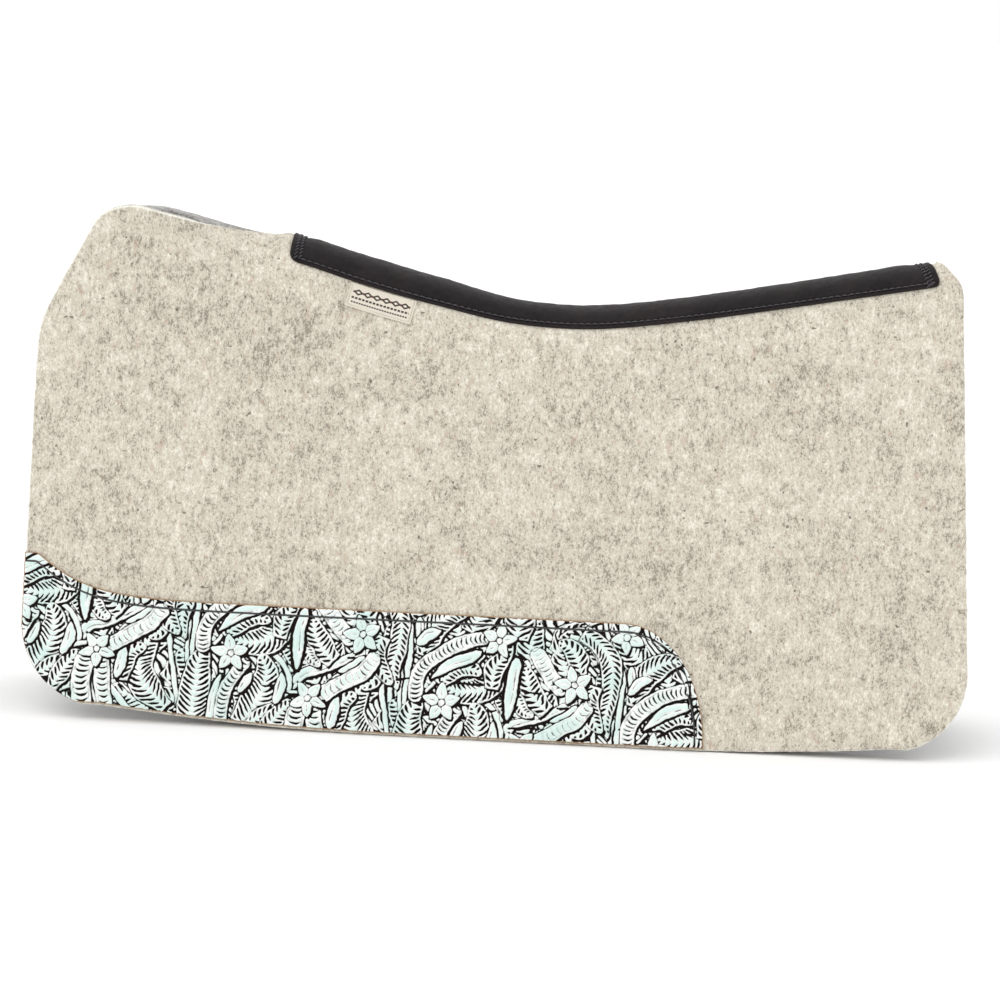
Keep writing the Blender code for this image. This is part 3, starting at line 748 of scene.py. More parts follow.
def strip_rows():
    step = 0.2 * MM
    for side, word in SIDES:
        x = np.arange(STRIP_FRONT + 9 * MM, STRIP_REAR + 4 * MM, STITCH_PITCH)
        along = strip_row_at(x + step, side) - strip_row_at(x - step, side)
        normals = strip_normal(x, side * (strip_half_width(x) - STITCH_INSET))
        points, name = strip_row_at(x, side), f"spine_sewing_{word}"
        row = stitches(name, points, along, normals, STITCH_LENGTH, STITCH_RADIUS, BLACK_THREAD)
        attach(row, "spine")
        stand_for(row, f"spine_stitch_{word}")
        x = np.linspace(STRIP_FRONT + 14 * MM, STRIP_REAR - 7 * MM, THREAD_POINTS)
        under = place(x, strip_half_width(x) - STITCH_INSET, -FELT - 0.5 * MM, side)
        bobbin = thread_line(f"spine_under_thread_{word}", under, LONG_THREAD_RADIUS, BLACK_THREAD)
        follow_fold(bobbin, word)
        stand_for(bobbin, f"spine_bobbin_{word}")


def tack(end, middle_x, rake):
    """Columns of slanted stitches across an end of the strip, over the crown from side to side."""
    points, normals = [], []
    reach = strip_half_width(STRIP_FRONT) - STITCH_INSET
    for column in range(TACK_COLUMNS):
        across = np.arange(-reach, reach, TACK_PITCH) + column * TACK_STAGGER
        x = middle_x + rake * np.abs(across) + column * TACK_COLUMN_GAP
        points.append(strip_at(x, across, ON_FELT + STRIP_THICKNESS - 0.1 * MM))
        normals.append(strip_normal(x, across))
    points, normals = np.concatenate(points), np.concatenate(normals)
    along = np.tile([1.0, 0, 0], (len(points), 1))
    name = f"spine_tack_sewing_{end}"
    row = stitches(name, points, along, normals, TACK_LENGTH, STITCH_RADIUS, BLACK_THREAD, slant=TACK_SLANT)
    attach(row, "spine")
    stand_for(row, f"spine_tack_{end}")


def seam_thread(name, node, n):
    path = place(np.linspace(SEAM_FRONT + 0.5 * MM, STRIP_REAR, THREAD_POINTS), 0, n, 1)
    path[:, 1] = 0
    thread = thread_line(name, path, LONG_THREAD_RADIUS, NATURAL_THREAD)
    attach(thread, "spine")
    stand_for(thread, node)


spine_leather()
strip_rows()
tack("front", STRIP_FRONT + 5 * MM, -STRIP_FRONT_RAKE)
tack("rear", STRIP_REAR - 9.5 * MM, STRIP_REAR_RAKE)
seam_thread("seam_sewing", "spine_seam_thread", -0.8 * MM)
seam_thread("seam_under_sewing", "spine_seam_under_thread", -FELT - 1.3 * MM)

# --- The tooled pattern: a field of distances into the raised ground, drawn motif by motif. x along the pad and
# height above the floor are in mm too.

CANVAS_STEP = 0.25
CANVAS_X, CANVAS_Z = (-392.0, 182.0), (-6.0, 140.0)
REPEAT = np.array([172.0, -31.0])
REPEATS = range(-2, 4)
OUTLINE = 0.95  # the dark line cut round a motif
DROP_SHADOW, DROP_SHADOW_SHIFT = -0.35, (-6, 5)  # a dark recess below and right of a motif, painted as a drop shadow: its reach, and its shift in canvas steps
GROUND_PITCH = 4.5
COUNT, VINE_COUNT = 26, 34  # points of a motif's path
FAR = 1e9


def from_whole(phase):
    return np.abs(phase - np.round(phase))


class Canvas:
    """The field, which starts as a ground of wavy lines."""

    def __init__(self):
        self.xs = np.arange(CANVAS_X[0], CANVAS_X[1], CANVAS_STEP)
        self.zs = np.arange(CANVAS_Z[0], CANVAS_Z[1], CANVAS_STEP)
        x, z = np.meshgrid(self.xs, self.zs)
        phase = (0.75 * x + 0.55 * z + 6 * np.sin(z / 11) + 5 * np.sin(x / 17)) / GROUND_PITCH
        self.face = np.minimum(from_whole(phase) * GROUND_PITCH - OUTLINE, 1.3)

    def window(self, low, high):
        """The canvas between two corners, as its indices and its coordinates, or None where there is none."""
        i = np.clip(((np.array([low[0], high[0]]) - CANVAS_X[0]) / CANVAS_STEP).astype(int), 0, len(self.xs))
        j = np.clip(((np.array([low[1], high[1]]) - CANVAS_Z[0]) / CANVAS_STEP).astype(int), 0, len(self.zs))
        if i[0] >= i[1] or j[0] >= j[1]:
            return None
        area = np.s_[j[0] : j[1], i[0] : i[1]]
        return area, *np.meshgrid(self.xs[i[0] : i[1]], self.zs[j[0] : j[1]])

    def put(self, area, shape, light, outline=OUTLINE):
        """Draws a motif: shape is the distance into its outline, and light that into its raised ground."""
        # The motif moved down and right: the dark recess there is a painted drop shadow
        drop_shadow = np.roll(shape, DROP_SHADOW_SHIFT, (0, 1))
        over = (shape > -outline) | (drop_shadow > DROP_SHADOW)
        self.face[area] = np.where(over, np.clip(light, -1.4, 3.0), self.face[area])

    def soften(self):
        """Spreads the field a little, so that a mesh coarser than the canvas reads it evenly."""
        for axis in (0, 1):
            self.face = (np.roll(self.face, 1, axis) + 1.4 * self.face + np.roll(self.face, -1, axis)) / 3.4

    def sample(self, x, z):
        values = self.face
        fx = np.clip((x - CANVAS_X[0]) / CANVAS_STEP, 0, len(self.xs) - 1.001)
        fz = np.clip((z - CANVAS_Z[0]) / CANVAS_STEP, 0, len(self.zs) - 1.001)
        i, j = fx.astype(int), fz.astype(int)
        u, v = fx - i, fz - j
        return (
            values[j, i] * (1 - u) * (1 - v) + values[j, i + 1] * u * (1 - v)
            + values[j + 1, i] * (1 - u) * v + values[j + 1, i + 1] * u * v
        )  # fmt: skip


def curve_through(points, count=COUNT):
    """A smooth path through a few points."""
    points = np.asarray(points, float)
    if len(points) == 2:
        return points[0] + (points[1] - points[0]) * np.linspace(0, 1, count)[:, None]
    t = lengths_along(points)
    at = np.linspace(0, t[-1], count)
    slopes = np.gradient(points, t, axis=0)
    k = np.clip(np.searchsorted(t, at, side="right") - 1, 0, len(t) - 2)
    step = (t[k + 1] - t[k])[:, None]
    share = (at - t[k])[:, None] / step
    return hermite(points[k], points[k + 1], slopes[k] * step, slopes[k + 1] * step, share)


def near_path(path, x, z):
    """For each place: its distance along the path, that as a share from 0 to 1, its distance to the left of
    the path, the path's length, and the distance to the path's nearest point."""
    best = np.full(x.shape, FAR)
    along, across = np.zeros_like(x), np.zeros_like(x)
    lengths = lengths_along(path)
    for k in range(len(path) - 1):
        a, d = path[k], path[k + 1] - path[k]
        length = np.linalg.norm(d)
        d = d / length
        px, pz = x - a[0], z - a[1]
        run = px * d[0] + pz * d[1]
        held = np.clip(run, 0 if k else -FAR, length if k < len(path) - 2 else FAR)
        off = px * -d[1] + pz * d[0]
        gap = np.hypot(run - np.clip(run, 0, length), off)
        closer = gap < best
        best = np.where(closer, gap, best)
        along = np.where(closer, lengths[k] + held, along)
        across = np.where(closer, off, across)
    return along, np.clip(along / lengths[-1], 0, 1), across, lengths[-1], best


class Pen:
    """Draws each motif wherever the pattern repeats."""

    def __init__(self, canvas):
        self.canvas = canvas

    def places(self, points, reach):
        points = np.asarray(points, float)
        for k in REPEATS:
            moved = points + REPEAT * k
            found = self.canvas.window(moved.min(0) - reach, moved.max(0) + reach)
            if found:
                yield moved, found

    def flower(self, centre, radius, turn):
        """Five creased petals round a small ringed middle."""
        for moved, (area, x, z) in self.places([centre], radius + 2):
            dx, dz = x - moved[0][0], z - moved[0][1]
            r, angle = np.hypot(dx, dz), np.arctan2(dz, dx) - turn
            fifth = 2 * math.pi / 5
            local = (angle + fifth / 2) % fifth - fifth / 2
            px, py = r * np.cos(local), np.abs(r * np.sin(local))
            t = np.clip(px / radius, 0, 1)
            half = radius * 0.275 * np.sin(math.pi * t**0.8) ** 0.75
            petal = np.minimum(np.minimum(half, px * 0.7265 - 0.5) - py, (radius - px) * 0.8)
            crease = np.where((px > 0.3 * radius) & (px < 0.72 * radius), py * 1.1 - 0.3, 3.0)
            light = np.minimum(petal, crease)
            light = np.where(r < 3.4, np.minimum(2.3 - r, np.abs(r - 0.9) - 0.1), light)
            self.canvas.put(area, np.maximum(petal, 2.3 - r), light, 1.0)

    def leaf(self, points, half_width, sweep=0.9, base=0.35, left=1.0, right=1.0, pitch=4.3, count=COUNT):
        """A fern leaf: a raised midrib and border, with dark bars swept back between its ribs."""
        path = curve_through(points, count)
        for moved, (area, x, z) in self.places(path, half_width + 3):
            along, t, across, length, _ = near_path(moved, x, z)
            width = half_width * np.where(across > 0, left, right)
            outline = width * (base + (1 - base) * smooth(t / 0.3)) * np.sqrt(np.clip(1 - t**2.6, 0, 1))
            ends = np.minimum(along + 1.5, length - along)
            shape = np.minimum(outline - np.abs(across), ends)
            run = np.clip(np.abs(across) / np.maximum(outline, 0.1), 0, 1)
            phase = (along - sweep * np.abs(across) * (0.6 + 0.4 * run)) / pitch
            bar = from_whole(phase) * pitch
            thick = pitch * 0.30 * np.clip(run * 2.2, 0, 1) ** 0.8 * np.clip((1.06 - run) * 5, 0, 1) ** 0.6
            slit = np.minimum(thick - bar, np.minimum(np.abs(across) - 0.6, outline - 0.95 - np.abs(across)))
            slit = np.minimum(slit, ends - 1.0)
            self.canvas.put(area, shape, np.minimum(shape, -slit * 1.3))

    def tube(self, points, width, pitch, bold=0.75):
        """A stem with a raised border and a row of crescents across it."""
        path = curve_through(points)
        for moved, (area, x, z) in self.places(path, width):
            along, _, across, _, gap = near_path(moved, x, z)
            half = width / 2
            shape = half - gap
            run = across / half
            phase = (along + 0.28 * width * run**2) / pitch
            bar = from_whole(phase) * pitch
            thick = bold * np.clip(1.25 - (run * 1.4) ** 2, 0, 1)
            line = 0.3 - np.abs(np.abs(across) - (half - 1.6))
            slit = np.maximum(thick - bar, line * 0.7 - 0.08)
            self.canvas.put(area, shape, np.minimum(shape, np.maximum(-slit * 1.2, -0.9)))

    def bud(self, points, width, point=0.7, halo=OUTLINE):
        """A smooth raised petal, pointed or round at its far end."""
        path = curve_through(points)
        for moved, (area, x, z) in self.places(path, width + halo):
            along, t, across, length, _ = near_path(moved, x, z)
            outline = width / 2 * (0.62 + 0.38 * np.sin(math.pi * t)) * np.clip(1 - t**5, 0, 1) ** point
            outline = outline * np.clip(t * 9 + 0.25, 0, 1) ** 0.5
            shape = np.minimum(outline - np.abs(across), np.minimum(along + 0.5, length - along))
            crease = np.abs(across - 0.3 * outline) * 1.1 - 0.4 + 3 * smooth(np.abs(t - 0.45) * 5 - 1.2)
            self.canvas.put(area, shape, np.minimum(shape, crease), halo)

    def vine(self, points, width, taper):
        """A plain stem, creased along its middle where it is wide."""
        path = curve_through(points, VINE_COUNT)
        for moved, (area, x, z) in self.places(path, width + 2):
            along, t, across, length, _ = near_path(moved, x, z)
            half = width / 2 * (1 - taper * t)
            shape = np.minimum(half - np.abs(across), np.minimum(along, length - along) + 0.5)
            light = shape
            if width > 5:
                light = np.minimum(shape, np.abs(across + half * 0.25) - 0.35)
            self.canvas.put(area, shape, light)


def draw_ground_ferns(pen):
    """Fern leaves that overlap like scales fill the ground."""
    rng = np.random.default_rng(12)
    first, next_row, columns, part_length = np.array([-206.0, -52.0]), np.array([0, 25.0]), 5, 14
    for row in range(11):
        for column in range(columns):
            share = column + 0.5 * (row % 2)
            foot = first + next_row * row + REPEAT * share / columns + rng.uniform(-4, 4, 2)
            lean, bend = rng.uniform(0.6, 2.5), rng.uniform(-0.7, 0.7)
            points = [foot]
            for part in range(3):
                turn = lean + bend * part
                points.append(points[-1] + part_length * np.array([math.cos(turn), math.sin(turn)]))
            pen.leaf(points, rng.uniform(10, 13), sweep=0.7, base=0.7, count=9)


# Stems and long curls: points, width, taper
VINES = (
    ([(-90, 120), (-81, 113), (-73, 101), (-68, 87), (-67, 69), (-69, 49), (-70, 35), (-67, 4)], 4.2, 0.0),
    ([(-110, 117), (-95, 109), (-85, 96), (-82, 83), (-86, 67), (-89, 36), (-84, 12), (-80, -16)], 3.4, 0.1),
    ([(-162, 35), (-154, 44), (-136, 50), (-119, 58), (-104, 66)], 7.5, 0.35),
    ([(-302, 38), (-289, 26), (-272, 15), (-262, 8), (-250, -2)], 5.5, 0.2),
    ([(-308, 30), (-297, 17), (-286, 6), (-274, -6)], 4.5, 0.0),
    ([(-250, 97), (-246, 82), (-247, 66), (-244, 48), (-233, 30), (-231, 0)], 3.0, 0.0),
    ([(-146, 95), (-136, 80), (-121, 74), (-112, 76)], 3.2, 0.3),
    ([(-178, 62), (-170, 55), (-163, 40), (-165, 24), (-172, 12)], 3.6, 0.2),
    ([(-53, 36), (-45, 44), (-31, 52), (-16, 57), (-7, 65)], 2.0, 0.2),
    ([(-357, 30), (-347, 47), (-336, 60), (-328, 62)], 3.0, 0.0),
    ([(-206, 92), (-190, 96), (-176, 104)], 5.0, 0.3),
)
# Fern leaves: points, half width, sweep of the bars, its share at the foot, its shares left and right, pitch
LEAVES = (
    (
        [(-99, 119), (-89, 113), (-80, 104), (-76, 91), (-76, 79), (-77, 66), (-80, 54), (-77, 38)],
        8.5, 0.9, 0.8, 0.9,
    ),
    ([(-58, 66), (-54, 79), (-46, 90), (-35, 98), (-20, 101)], 11.5, 0.9, 0.35, 1.0, 0.95),
    ([(7, 62), (0, 48), (-12, 39), (-27, 38), (-43, 42)], 12.0, 0.9, 0.5, 0.95, 0.95),
    ([(-240, 2), (-240, 18), (-238, 34), (-236, 50), (-229, 62)], 12.5, 0.7, 0.9),
    ([(-200, 4), (-189, 22), (-183, 36), (-182, 48), (-187, 60)], 13.0, 0.8, 0.7),
    ([(-262, 14), (-272, 23), (-281, 35), (-284, 48), (-280, 62), (-270, 76)], 12.5, 0.8, 0.5),
    ([(-129, 58), (-137, 66), (-142, 76), (-146, 90)], 10.0, 0.6, 0.7),
    ([(-197, 3), (-184, 12), (-173, 17), (-158, 19)], 6.5, 0.8),
    ([(-354, 26), (-347, 38), (-340, 47), (-331, 55)], 8.5, 0.8, 0.6),
    ([(-98, 60), (-94, 52), (-97, 42), (-106, 37)], 6.5, 0.6),
    ([(-100, 88), (-104, 98), (-111, 108), (-120, 112)], 8.5, 0.6, 0.5),
    ([(-152, 70), (-149, 62), (-145, 56), (-138, 52)], 5.5, 0.5, 0.35, 1.0, 1.0, 3.0),
    ([(-262, 108), (-266, 96), (-262, 84), (-254, 72)], 8.5, 0.8, 0.7),
    ([(-214, 74), (-204, 84), (-192, 88), (-180, 84)], 7.5, 0.7, 0.6),
    ([(-172, 74), (-170, 88), (-163, 98), (-157, 112)], 7.5, 0.7, 0.7),
    ([(-126, 4), (-124, 16), (-118, 26), (-108, 31)], 8.0, 0.7, 0.7),
)
# Smooth buds: points, width, bluntness, dark line round it
BUDS = (
    ([(-11, 67), (-22, 64), (-35, 58), (-49, 46)], 9.5, 0.9, 1.6),
    ([(20, 65), (16, 48), (15, 32), (14, 17)], 9.0, 0.5, 2.4),
    ([(-226, 4), (-224, 22), (-219, 41)], 7.5, 0.6, 1.3),
    ([(-202, 29), (-198, 37), (-194, 45)], 6.5, 0.5, 0.9),
    ([(-175, 22), (-170, 32), (-169, 46)], 8.0, 0.8, 1.1),
    ([(-302, 36), (-299, 48), (-296, 62)], 8.5, 0.5, 1.2),
    ([(-61, 94), (-60, 84), (-60, 74)], 6.0, 0.7, 1.2),
    ([(-131, 38), (-122, 45), (-113, 49)], 6.0, 0.7, 1.0),
    ([(-276, 92), (-284, 84), (-296, 80)], 7.0, 0.8, 1.1),
    ([(-232, 104), (-226, 112), (-214, 116)], 8.0, 0.8, 1.2),
)
# Banded stems: points, width, pitch of the bands, half width of a band
TUBES = (
    ([(-9, 80), (-20, 78), (-33, 73), (-46, 65), (-56, 56), (-61, 46), (-61, 33)], 11.0, 3.7),
    ([(-201, 52), (-210, 38), (-215, 25), (-218, 4)], 10.5, 3.7, 0.8),
    ([(-96, 59), (-104, 49), (-116, 42), (-141, 28)], 12.0, 4.6, 0.5),
    ([(-137, 101), (-131, 92), (-125, 84), (-117, 76)], 12.5, 4.0, 0.5),
    ([(-328, 46), (-330, 32), (-329, 12)], 15.0, 4.4, 1.0),
    ([(-314, 46), (-313, 30), (-309, 6)], 12.0, 4.4, 0.8),
)
# Flowers: centre, radius, turn
FLOWERS = (
    ((-212, 59), 15.5, 0.35), ((-147, 26), 15.0, 0.95), ((-106, 78), 15.5, 0.55),
    ((-168, 110), 15.0, 0.2), ((-64, 118), 13.5, 0.8),
)  # fmt: skip


def draw_pattern():
    canvas = Canvas()
    pen = Pen(canvas)
    draw_ground_ferns(pen)
    draws = (pen.vine, pen.leaf, pen.bud, pen.tube, pen.flower)
    for draw, motifs in zip(draws, (VINES, LEAVES, BUDS, TUBES, FLOWERS)):
        for motif in motifs:
            draw(*motif)
    canvas.soften()
    return canvas


PATTERN = draw_pattern()

# --- The wear leathers

WEAR_COLUMNS, WEAR_ROWS = 742, 134
WEAR_BACKING = 1.5 * MM  # from the felt to the tooled recesses
WEAR_RELIEF = 1.2  # mm from the recesses to the raised ground
WEAR_UNDER = 0.2 * MM  # its underside's height over the felt
WEAR_STITCH_INSET, WEAR_STITCH_PITCH = 7 * MM, 5.0 * MM
WEAR_STITCH_SAMPLES = 10  # points of the row's path a stitch
WEAR_STITCH_LENGTH, WEAR_STITCH_RADIUS, WEAR_STITCH_SINK = 4.5 * MM, 0.56 * MM, 0.2 * MM
REST_SHIFT = 0.3  # m, so that the right leather's grain isn't the left one's
CORNER_POINTS = 60


def wear_top_z(x):
    run = np.maximum(0, x - WEAR_SWEEP_START) / WEAR_SWEEP_LENGTH
    return WEAR_BODY_TOP + (WEAR_FRONT_TOP - WEAR_BODY_TOP) * np.exp(-(run**1.15))


def wear_low_z(x):
    return bottom_z(x) + WEAR_FLOOR_GAP


def wear_upper(inset=0.0):
    """The upper line as (x, z): swept down from the front edge and along, and then the round at its rear."""
    x = np.linspace(PAD_FRONT - WEAR_OVERHANG, WEAR_ROUND_START, 400)
    line = np.stack([x, wear_top_z(x) - inset], -1)
    low = float(wear_low_z(WEAR_REAR))
    across, high = WEAR_REAR - inset - WEAR_ROUND_START, line[-1, 1] - low
    angle = np.linspace(0, math.pi / 2, 120)[1:]
    return line, np.stack([WEAR_ROUND_START + across * np.sin(angle), low + high * np.cos(angle)], -1)


def spaced(path, count):
    """This many points, evenly along a path."""
    t = lengths_along(path)
    at = np.linspace(0, t[-1], count)
    return np.stack([np.interp(at, t, path[:, 0]), np.interp(at, t, path[:, 1])], -1)


def wear_sides():
    """A wear leather's top, low, front and rear sides, as (x, z) points that meet at its four corners."""
    line, rear_arc = wear_upper()
    corner_x = PAD_FRONT + FRONT_CORNER_RADIUS

    def corner(start, end):
        angle, radius = np.linspace(start, end, CORNER_POINTS), FRONT_CORNER_RADIUS + WEAR_OVERHANG
        z = BOTTOM_BOW + FRONT_CORNER_RADIUS - radius * np.sin(angle)
        return np.stack([corner_x - radius * np.cos(angle), z], -1)

    front = np.concatenate([[line[0]], corner(0, math.pi / 4)])
    low_arc = corner(math.pi / 4, math.pi / 2)
    low_arc[:, 1] = np.maximum(low_arc[:, 1], wear_low_z(corner_x))
    x = np.linspace(corner_x, WEAR_REAR, 300)[1:]
    low = np.concatenate([low_arc, np.stack([x, wear_low_z(x)], -1)])
    top = np.concatenate([line, rear_arc[:CORNER_POINTS]])
    return top, low, front, rear_arc[CORNER_POINTS - 1 :]


def coons(top, low, front, rear, columns, rows):
    """A grid of points that fills the space between four sides."""
    top, low = spaced(top, columns), spaced(low, columns)
    front, rear = spaced(front, rows), spaced(rear, rows)
    u = np.linspace(0, 1, columns)[None, :, None]
    v = np.linspace(0, 1, rows)[:, None, None]
    return (
        (1 - v) * top[None] + v * low[None] + (1 - u) * front[:, None] + u * rear[:, None]
        - (1 - u) * (1 - v) * top[0] - u * (1 - v) * top[-1] - (1 - u) * v * low[0] - u * v * low[-1]
    )  # fmt: skip


def wear_leather(side, word):
    flat = coons(*wear_sides(), WEAR_COLUMNS, WEAR_ROWS)
    x, z = flat[..., 0], flat[..., 1]
    at = np.stack([x, np.zeros_like(x), z], -1)
    sway_x, sway_z = (0.9 * unevenness(at, 0.024, k) + 0.28 * unevenness(at, 0.006, k + 1) for k in (71, 73))
    face = PATTERN.sample(x * TO_MM + sway_x, z * TO_MM + sway_z)
    face = face + 0.16 * unevenness(at, 0.009, 75)
    # The distance to each edge is measured along the grid's rows and columns
    edges = (flat[:1], flat[-1:], flat[:, :1], flat[:, -1:])
    to_top, to_low, to_front, to_rear = (np.linalg.norm(flat - edge, axis=-1) for edge in edges)
    edge = np.minimum(np.minimum(to_top, to_low), np.minimum(to_front, to_rear)) * TO_MM
    seam = np.minimum(to_top, to_rear) * TO_MM - WEAR_STITCH_INSET * TO_MM
    raised = smooth((face + 0.55) / 1.5)
    dome = 0.3 * smooth((face - 0.5) / 2.5)
    height = WEAR_RELIEF * (raised + dome) - 0.35 * bell(seam, 0.8) - 0.6 * np.exp(-np.maximum(edge, 0) / 0.5)
    height = height + 0.10 * unevenness(at, 0.03, 31) + 0.04 * unevenness(at, 0.004, 32)
    rows, columns = x.shape
    count, rim = rows * columns, loop_of(rows, columns)
    top = place_at_height(x, z, ON_FELT + WEAR_BACKING + height * MM, side).reshape(-1, 3)
    under = place_at_height(x, z, WEAR_UNDER, side).reshape(-1, 3)[rim]
    verts = np.concatenate([top, top[rim] * 0.35 + under * 0.65, under])
    middle_loop = np.arange(len(rim)) + count
    faces = [grid_faces(rows, columns, 0, side < 0)]
    faces += [band(a, b, side > 0) for a, b in ((rim, middle_loop), (middle_loop, middle_loop + len(rim)))]
    at = at.reshape(-1, 3)
    rest = np.concatenate([at, at[rim] + [0, 0.5 * MM, 0], at[rim] + [0, 2 * MM, 0]])
    if side > 0:
        rest[:, 1] += REST_SHIFT
    pad = np.ones(2 * len(rim))
    floats = {
        "face": np.concatenate([face.ravel(), pad * 0.4]),
        "seam": np.concatenate([seam.ravel(), pad * 9]),
        "edge": np.concatenate([edge.ravel(), pad * 0]),
    }
    obj = new_mesh(f"tooled_leather_{word}", verts, faces, TOOLED_LEATHER, floats, {"rest": rest})
    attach(obj, f"{word}_flap")
    stand_for(obj, f"wear_leather_{word}")


def wear_sewing(side, word):
    path = np.concatenate(wear_upper(WEAR_STITCH_INSET))
    keep = (path[:, 0] > PAD_FRONT + 1.5 * MM) & (path[:, 1] > wear_low_z(path[:, 0]) + 4 * MM)
    path = path[keep]
    length = np.linalg.norm(np.diff(path, axis=0), axis=1).sum()
    x, z = spaced(path, int(length / WEAR_STITCH_PITCH) * WEAR_STITCH_SAMPLES + 1).T
    n = ON_FELT + WEAR_BACKING + 0.75 * MM
    points = place_at_height(x, z, n, side)
    normals = place_at_height(x, z, n + MM, side) - points
    along = np.gradient(points, axis=0)
    at = np.arange(WEAR_STITCH_SAMPLES // 2, len(points), WEAR_STITCH_SAMPLES)
    thread = (WEAR_STITCH_LENGTH, WEAR_STITCH_RADIUS, BLACK_THREAD)
    row = stitches(f"wear_sewing_{word}", points[at], along[at], normals[at], *thread, sink=WEAR_STITCH_SINK)
    under = place_at_height(x, z, -FELT - 0.4 * MM, side)
    bobbin = thread_line(f"wear_under_thread_{word}", under, LONG_THREAD_RADIUS, BLACK_THREAD)
    for obj, node in ((row, "wear_stitch"), (bobbin, "wear_bobbin")):
        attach(obj, f"{word}_flap")
        stand_for(obj, f"{node}_{word}")


for side, word in SIDES:
    wear_leather(side, word)
    wear_sewing(side, word)

# --- The label: a generic woven motif, with no lettering

LABEL_COLUMNS, LABEL_ROWS = 246, 101
LABEL_THICKNESS, LABEL_STITCH_PITCH = 0.55 * MM, 2.4 * MM
LABEL_STITCH_INSET = 1.6  # mm
LABEL_STITCH_LENGTH, LABEL_STITCH_RADIUS, LABEL_STITCH_SINK = 1.9 * MM, 0.2 * MM, 0.08 * MM
LABEL_STITCH_N = 1.05 * MM
MOTIF_INSET, MOTIF_PITCH, MOTIF_Y = 3.4, 7.6, 6.6  # mm: the lozenges' row
DASHES = ((11.6, 2.9, 0.85), (15.3, 2.1, 0.65))  # mm: each line's place down, its pitch and half its weight


def label_at(across, down, n):
    """The point at shares of the label's width and height, and n out from the felt."""
    x = LABEL_FRONT + across * LABEL_WIDTH - LABEL_SKEW * down * LABEL_HEIGHT
    return place(x, strip_half_width(x) + 1.0 * MM + down * LABEL_HEIGHT, n, -1)


def label_ink(x, y):
    """Distance into the dark and the red weft, in mm, at x and y: lozenges over two dashed lines."""
    inside = np.minimum(x - MOTIF_INSET, LABEL_WIDTH * TO_MM - MOTIF_INSET - x)
    half, off = MOTIF_PITCH / 2, np.abs(y - MOTIF_Y)
    large = np.abs(np.abs((x - 3.95) % MOTIF_PITCH - half) * 0.62 + off - 1.9)
    dark = np.minimum(0.78 - large, inside)
    red = np.minimum(1.15 - (np.abs((x - 0.15) % MOTIF_PITCH - half) * 0.8 + off), inside)
    for line, pitch, bold in DASHES:
        dash = np.minimum(pitch * 0.36 - np.abs((x + line) % pitch - pitch / 2), bold - np.abs(y - line))
        dark = np.maximum(dark, np.minimum(dash, inside))
    return dark, red


def woven_label():
    across, down = np.meshgrid(np.linspace(0, 1, LABEL_COLUMNS), np.linspace(0, 1, LABEL_ROWS))
    x_mm, y_mm = across * LABEL_WIDTH * TO_MM, down * LABEL_HEIGHT * TO_MM
    at = np.stack([across * LABEL_WIDTH, down * LABEL_HEIGHT, np.zeros_like(across)], -1)
    ripple = 0.22 * unevenness(at, 0.014, 61)
    lift = 0.5 * smooth((down - 0.86) / 0.14) * (0.6 + 0.4 * np.sin(across * 9))
    from_edge = np.minimum(np.minimum(x_mm, LABEL_WIDTH * TO_MM - x_mm), LABEL_HEIGHT * TO_MM - y_mm)
    n = (0.95 + ripple + lift - 0.25 * bell(from_edge - LABEL_STITCH_INSET, 0.7)) * MM
    sheets = [label_at(across, down, height).reshape(-1, 3) for height in (n, n - LABEL_THICKNESS)]
    rim, count = loop_of(LABEL_ROWS, LABEL_COLUMNS), across.size
    faces = [grid_faces(LABEL_ROWS, LABEL_COLUMNS, 0, True), grid_faces(LABEL_ROWS, LABEL_COLUMNS, count)]
    faces.append(band(rim, rim + count))
    inks = zip(("ink", "red"), label_ink(x_mm, y_mm))
    floats = {key: np.concatenate([ink.ravel(), np.full(count, -1.0)]) for key, ink in inks}
    vectors = {"weave": np.concatenate([at.reshape(-1, 3)] * 2)}
    obj = new_mesh("label", np.concatenate(sheets), faces, LABEL_CLOTH, floats, vectors)
    follow_fold(obj, "left")
    stand_for(obj, "woven_label")


def label_sewing():
    """Stitches round three sides of the label, whose upper side runs to the strip."""
    inset_x, inset_y = LABEL_STITCH_INSET / (LABEL_WIDTH * TO_MM), LABEL_STITCH_INSET / (LABEL_HEIGHT * TO_MM)
    corners = [(inset_x, 0.05), (inset_x, 1 - inset_y), (1 - inset_x, 1 - inset_y), (1 - inset_x, 0.05)]
    points, along, normals = [], [], []
    for (x0, y0), (x1, y1) in zip(corners, corners[1:]):
        count = int(math.hypot((x1 - x0) * LABEL_WIDTH, (y1 - y0) * LABEL_HEIGHT) / LABEL_STITCH_PITCH)
        t = (np.arange(count) + 0.5) / count
        x, y = x0 + (x1 - x0) * t, y0 + (y1 - y0) * t
        here = label_at(x, y, LABEL_STITCH_N)
        points.append(here)
        along.append(label_at(x + (x1 - x0) * 0.01, y + (y1 - y0) * 0.01, LABEL_STITCH_N) - here)
        normals.append(label_at(x, y, LABEL_STITCH_N + MM) - here)
    rows = map(np.concatenate, (points, along, normals))
    thread = (LABEL_STITCH_LENGTH, LABEL_STITCH_RADIUS, NATURAL_THREAD)
    row = stitches("label_sewing", *rows, *thread, sink=LABEL_STITCH_SINK)
    follow_fold(row, "left")
    stand_for(row, "label_stitch")


woven_label()
label_sewing()

# --- Floor, light and camera

FLOOR_REACH, FLOOR_Z = 60.0, -0.0004
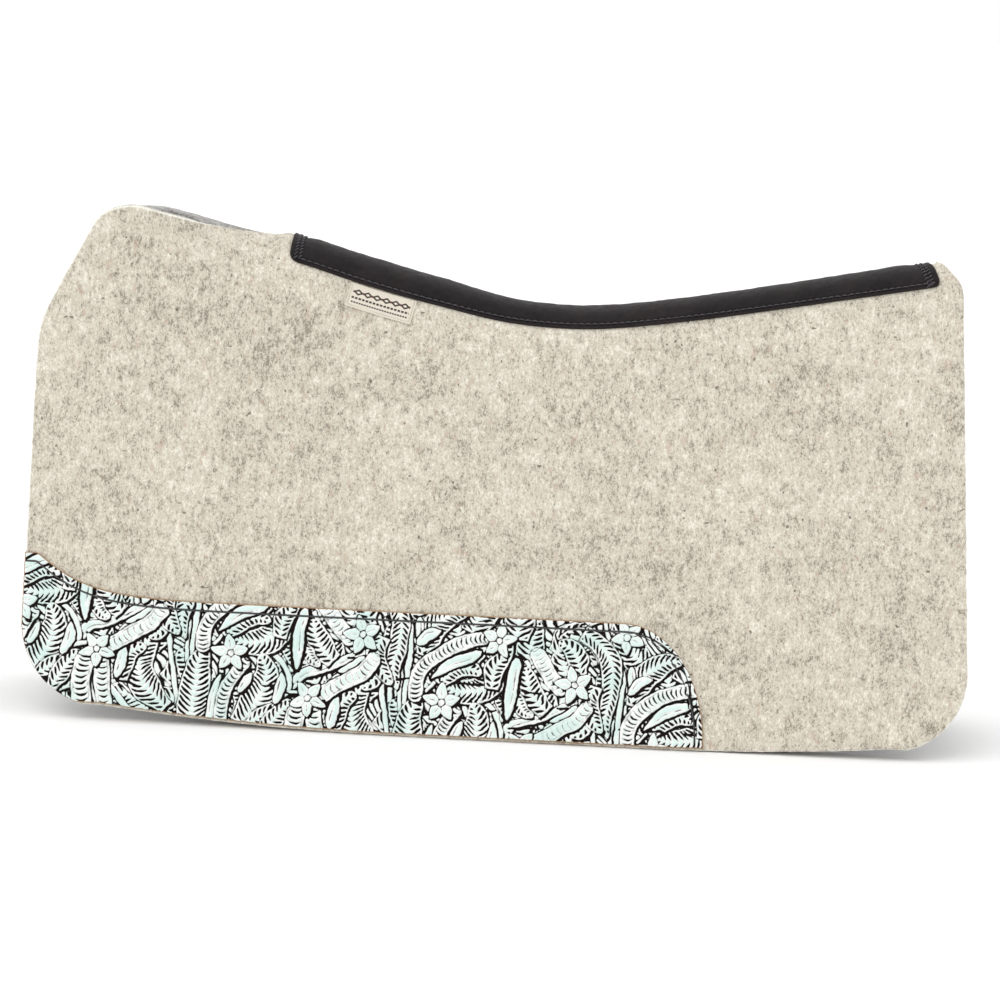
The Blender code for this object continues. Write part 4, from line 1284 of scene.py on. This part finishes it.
# Each light's direction, strength and width in degrees
SUNS = {"key": ((0.45, 0.62, -1.0), 0.75, 50), "back": ((-0.2, -0.8, -1.0), 0.3, 80)}
CAMERA_ELEVATION, CAMERA_ROLL, CAMERA_DISTANCE = math.radians(9), math.radians(2.97), 2.6
CAMERA_TARGET, VIEW_WIDTH, SENSOR = Vector((-0.0012, -0.06, 0.1914)), 0.80507, 36


def floor():
    m = Nodes("pale_floor")
    m.set(Base_Color=(0.95, 0.95, 0.95), Roughness=0.9, Specular_IOR_Level=0.1)
    verts = [(x * FLOOR_REACH, y * FLOOR_REACH, FLOOR_Z) for y in (-1, 0, 1) for x in (-1, 0, 1)]
    new_mesh("floor", verts, [grid_faces(3, 3)], m.material)


def lights():
    world = bpy.data.worlds.new("studio")
    world.use_nodes = True
    background = world.node_tree.nodes["Background"]
    background.inputs["Color"].default_value = (1, 1, 1, 1)
    background.inputs["Strength"].default_value = 1.0
    bpy.context.scene.world = world
    for name, (towards, strength, width) in SUNS.items():
        data = bpy.data.lights.new(name, "SUN")
        data.energy = strength
        data.angle = math.radians(width)
        obj = link(name, data)
        obj.rotation_mode = "QUATERNION"
        obj.rotation_quaternion = Vector(towards).to_track_quat("-Z", "Y")
        obj.location = -Vector(towards) * 3


def camera():
    forward = Vector((0, math.cos(CAMERA_ELEVATION), -math.sin(CAMERA_ELEVATION)))
    right, up = Vector((1, 0, 0)), Vector((0, math.sin(CAMERA_ELEVATION), math.cos(CAMERA_ELEVATION)))
    tilted_right = right * math.cos(CAMERA_ROLL) + up * math.sin(CAMERA_ROLL)
    tilted_up = up * math.cos(CAMERA_ROLL) - right * math.sin(CAMERA_ROLL)
    data = bpy.data.cameras.new("camera")
    data.sensor_width = SENSOR
    data.lens = SENSOR * CAMERA_DISTANCE / VIEW_WIDTH
    data.clip_start, data.clip_end = 0.05, 300
    obj = link("camera", data)
    turn = Matrix((tilted_right, tilted_up, -forward)).transposed().to_4x4()
    obj.matrix_world = Matrix.Translation(CAMERA_TARGET - forward * CAMERA_DISTANCE) @ turn
    bpy.context.scene.camera = obj


floor()
lights()
camera()
bpy.context.scene.view_settings.view_transform = "Standard"
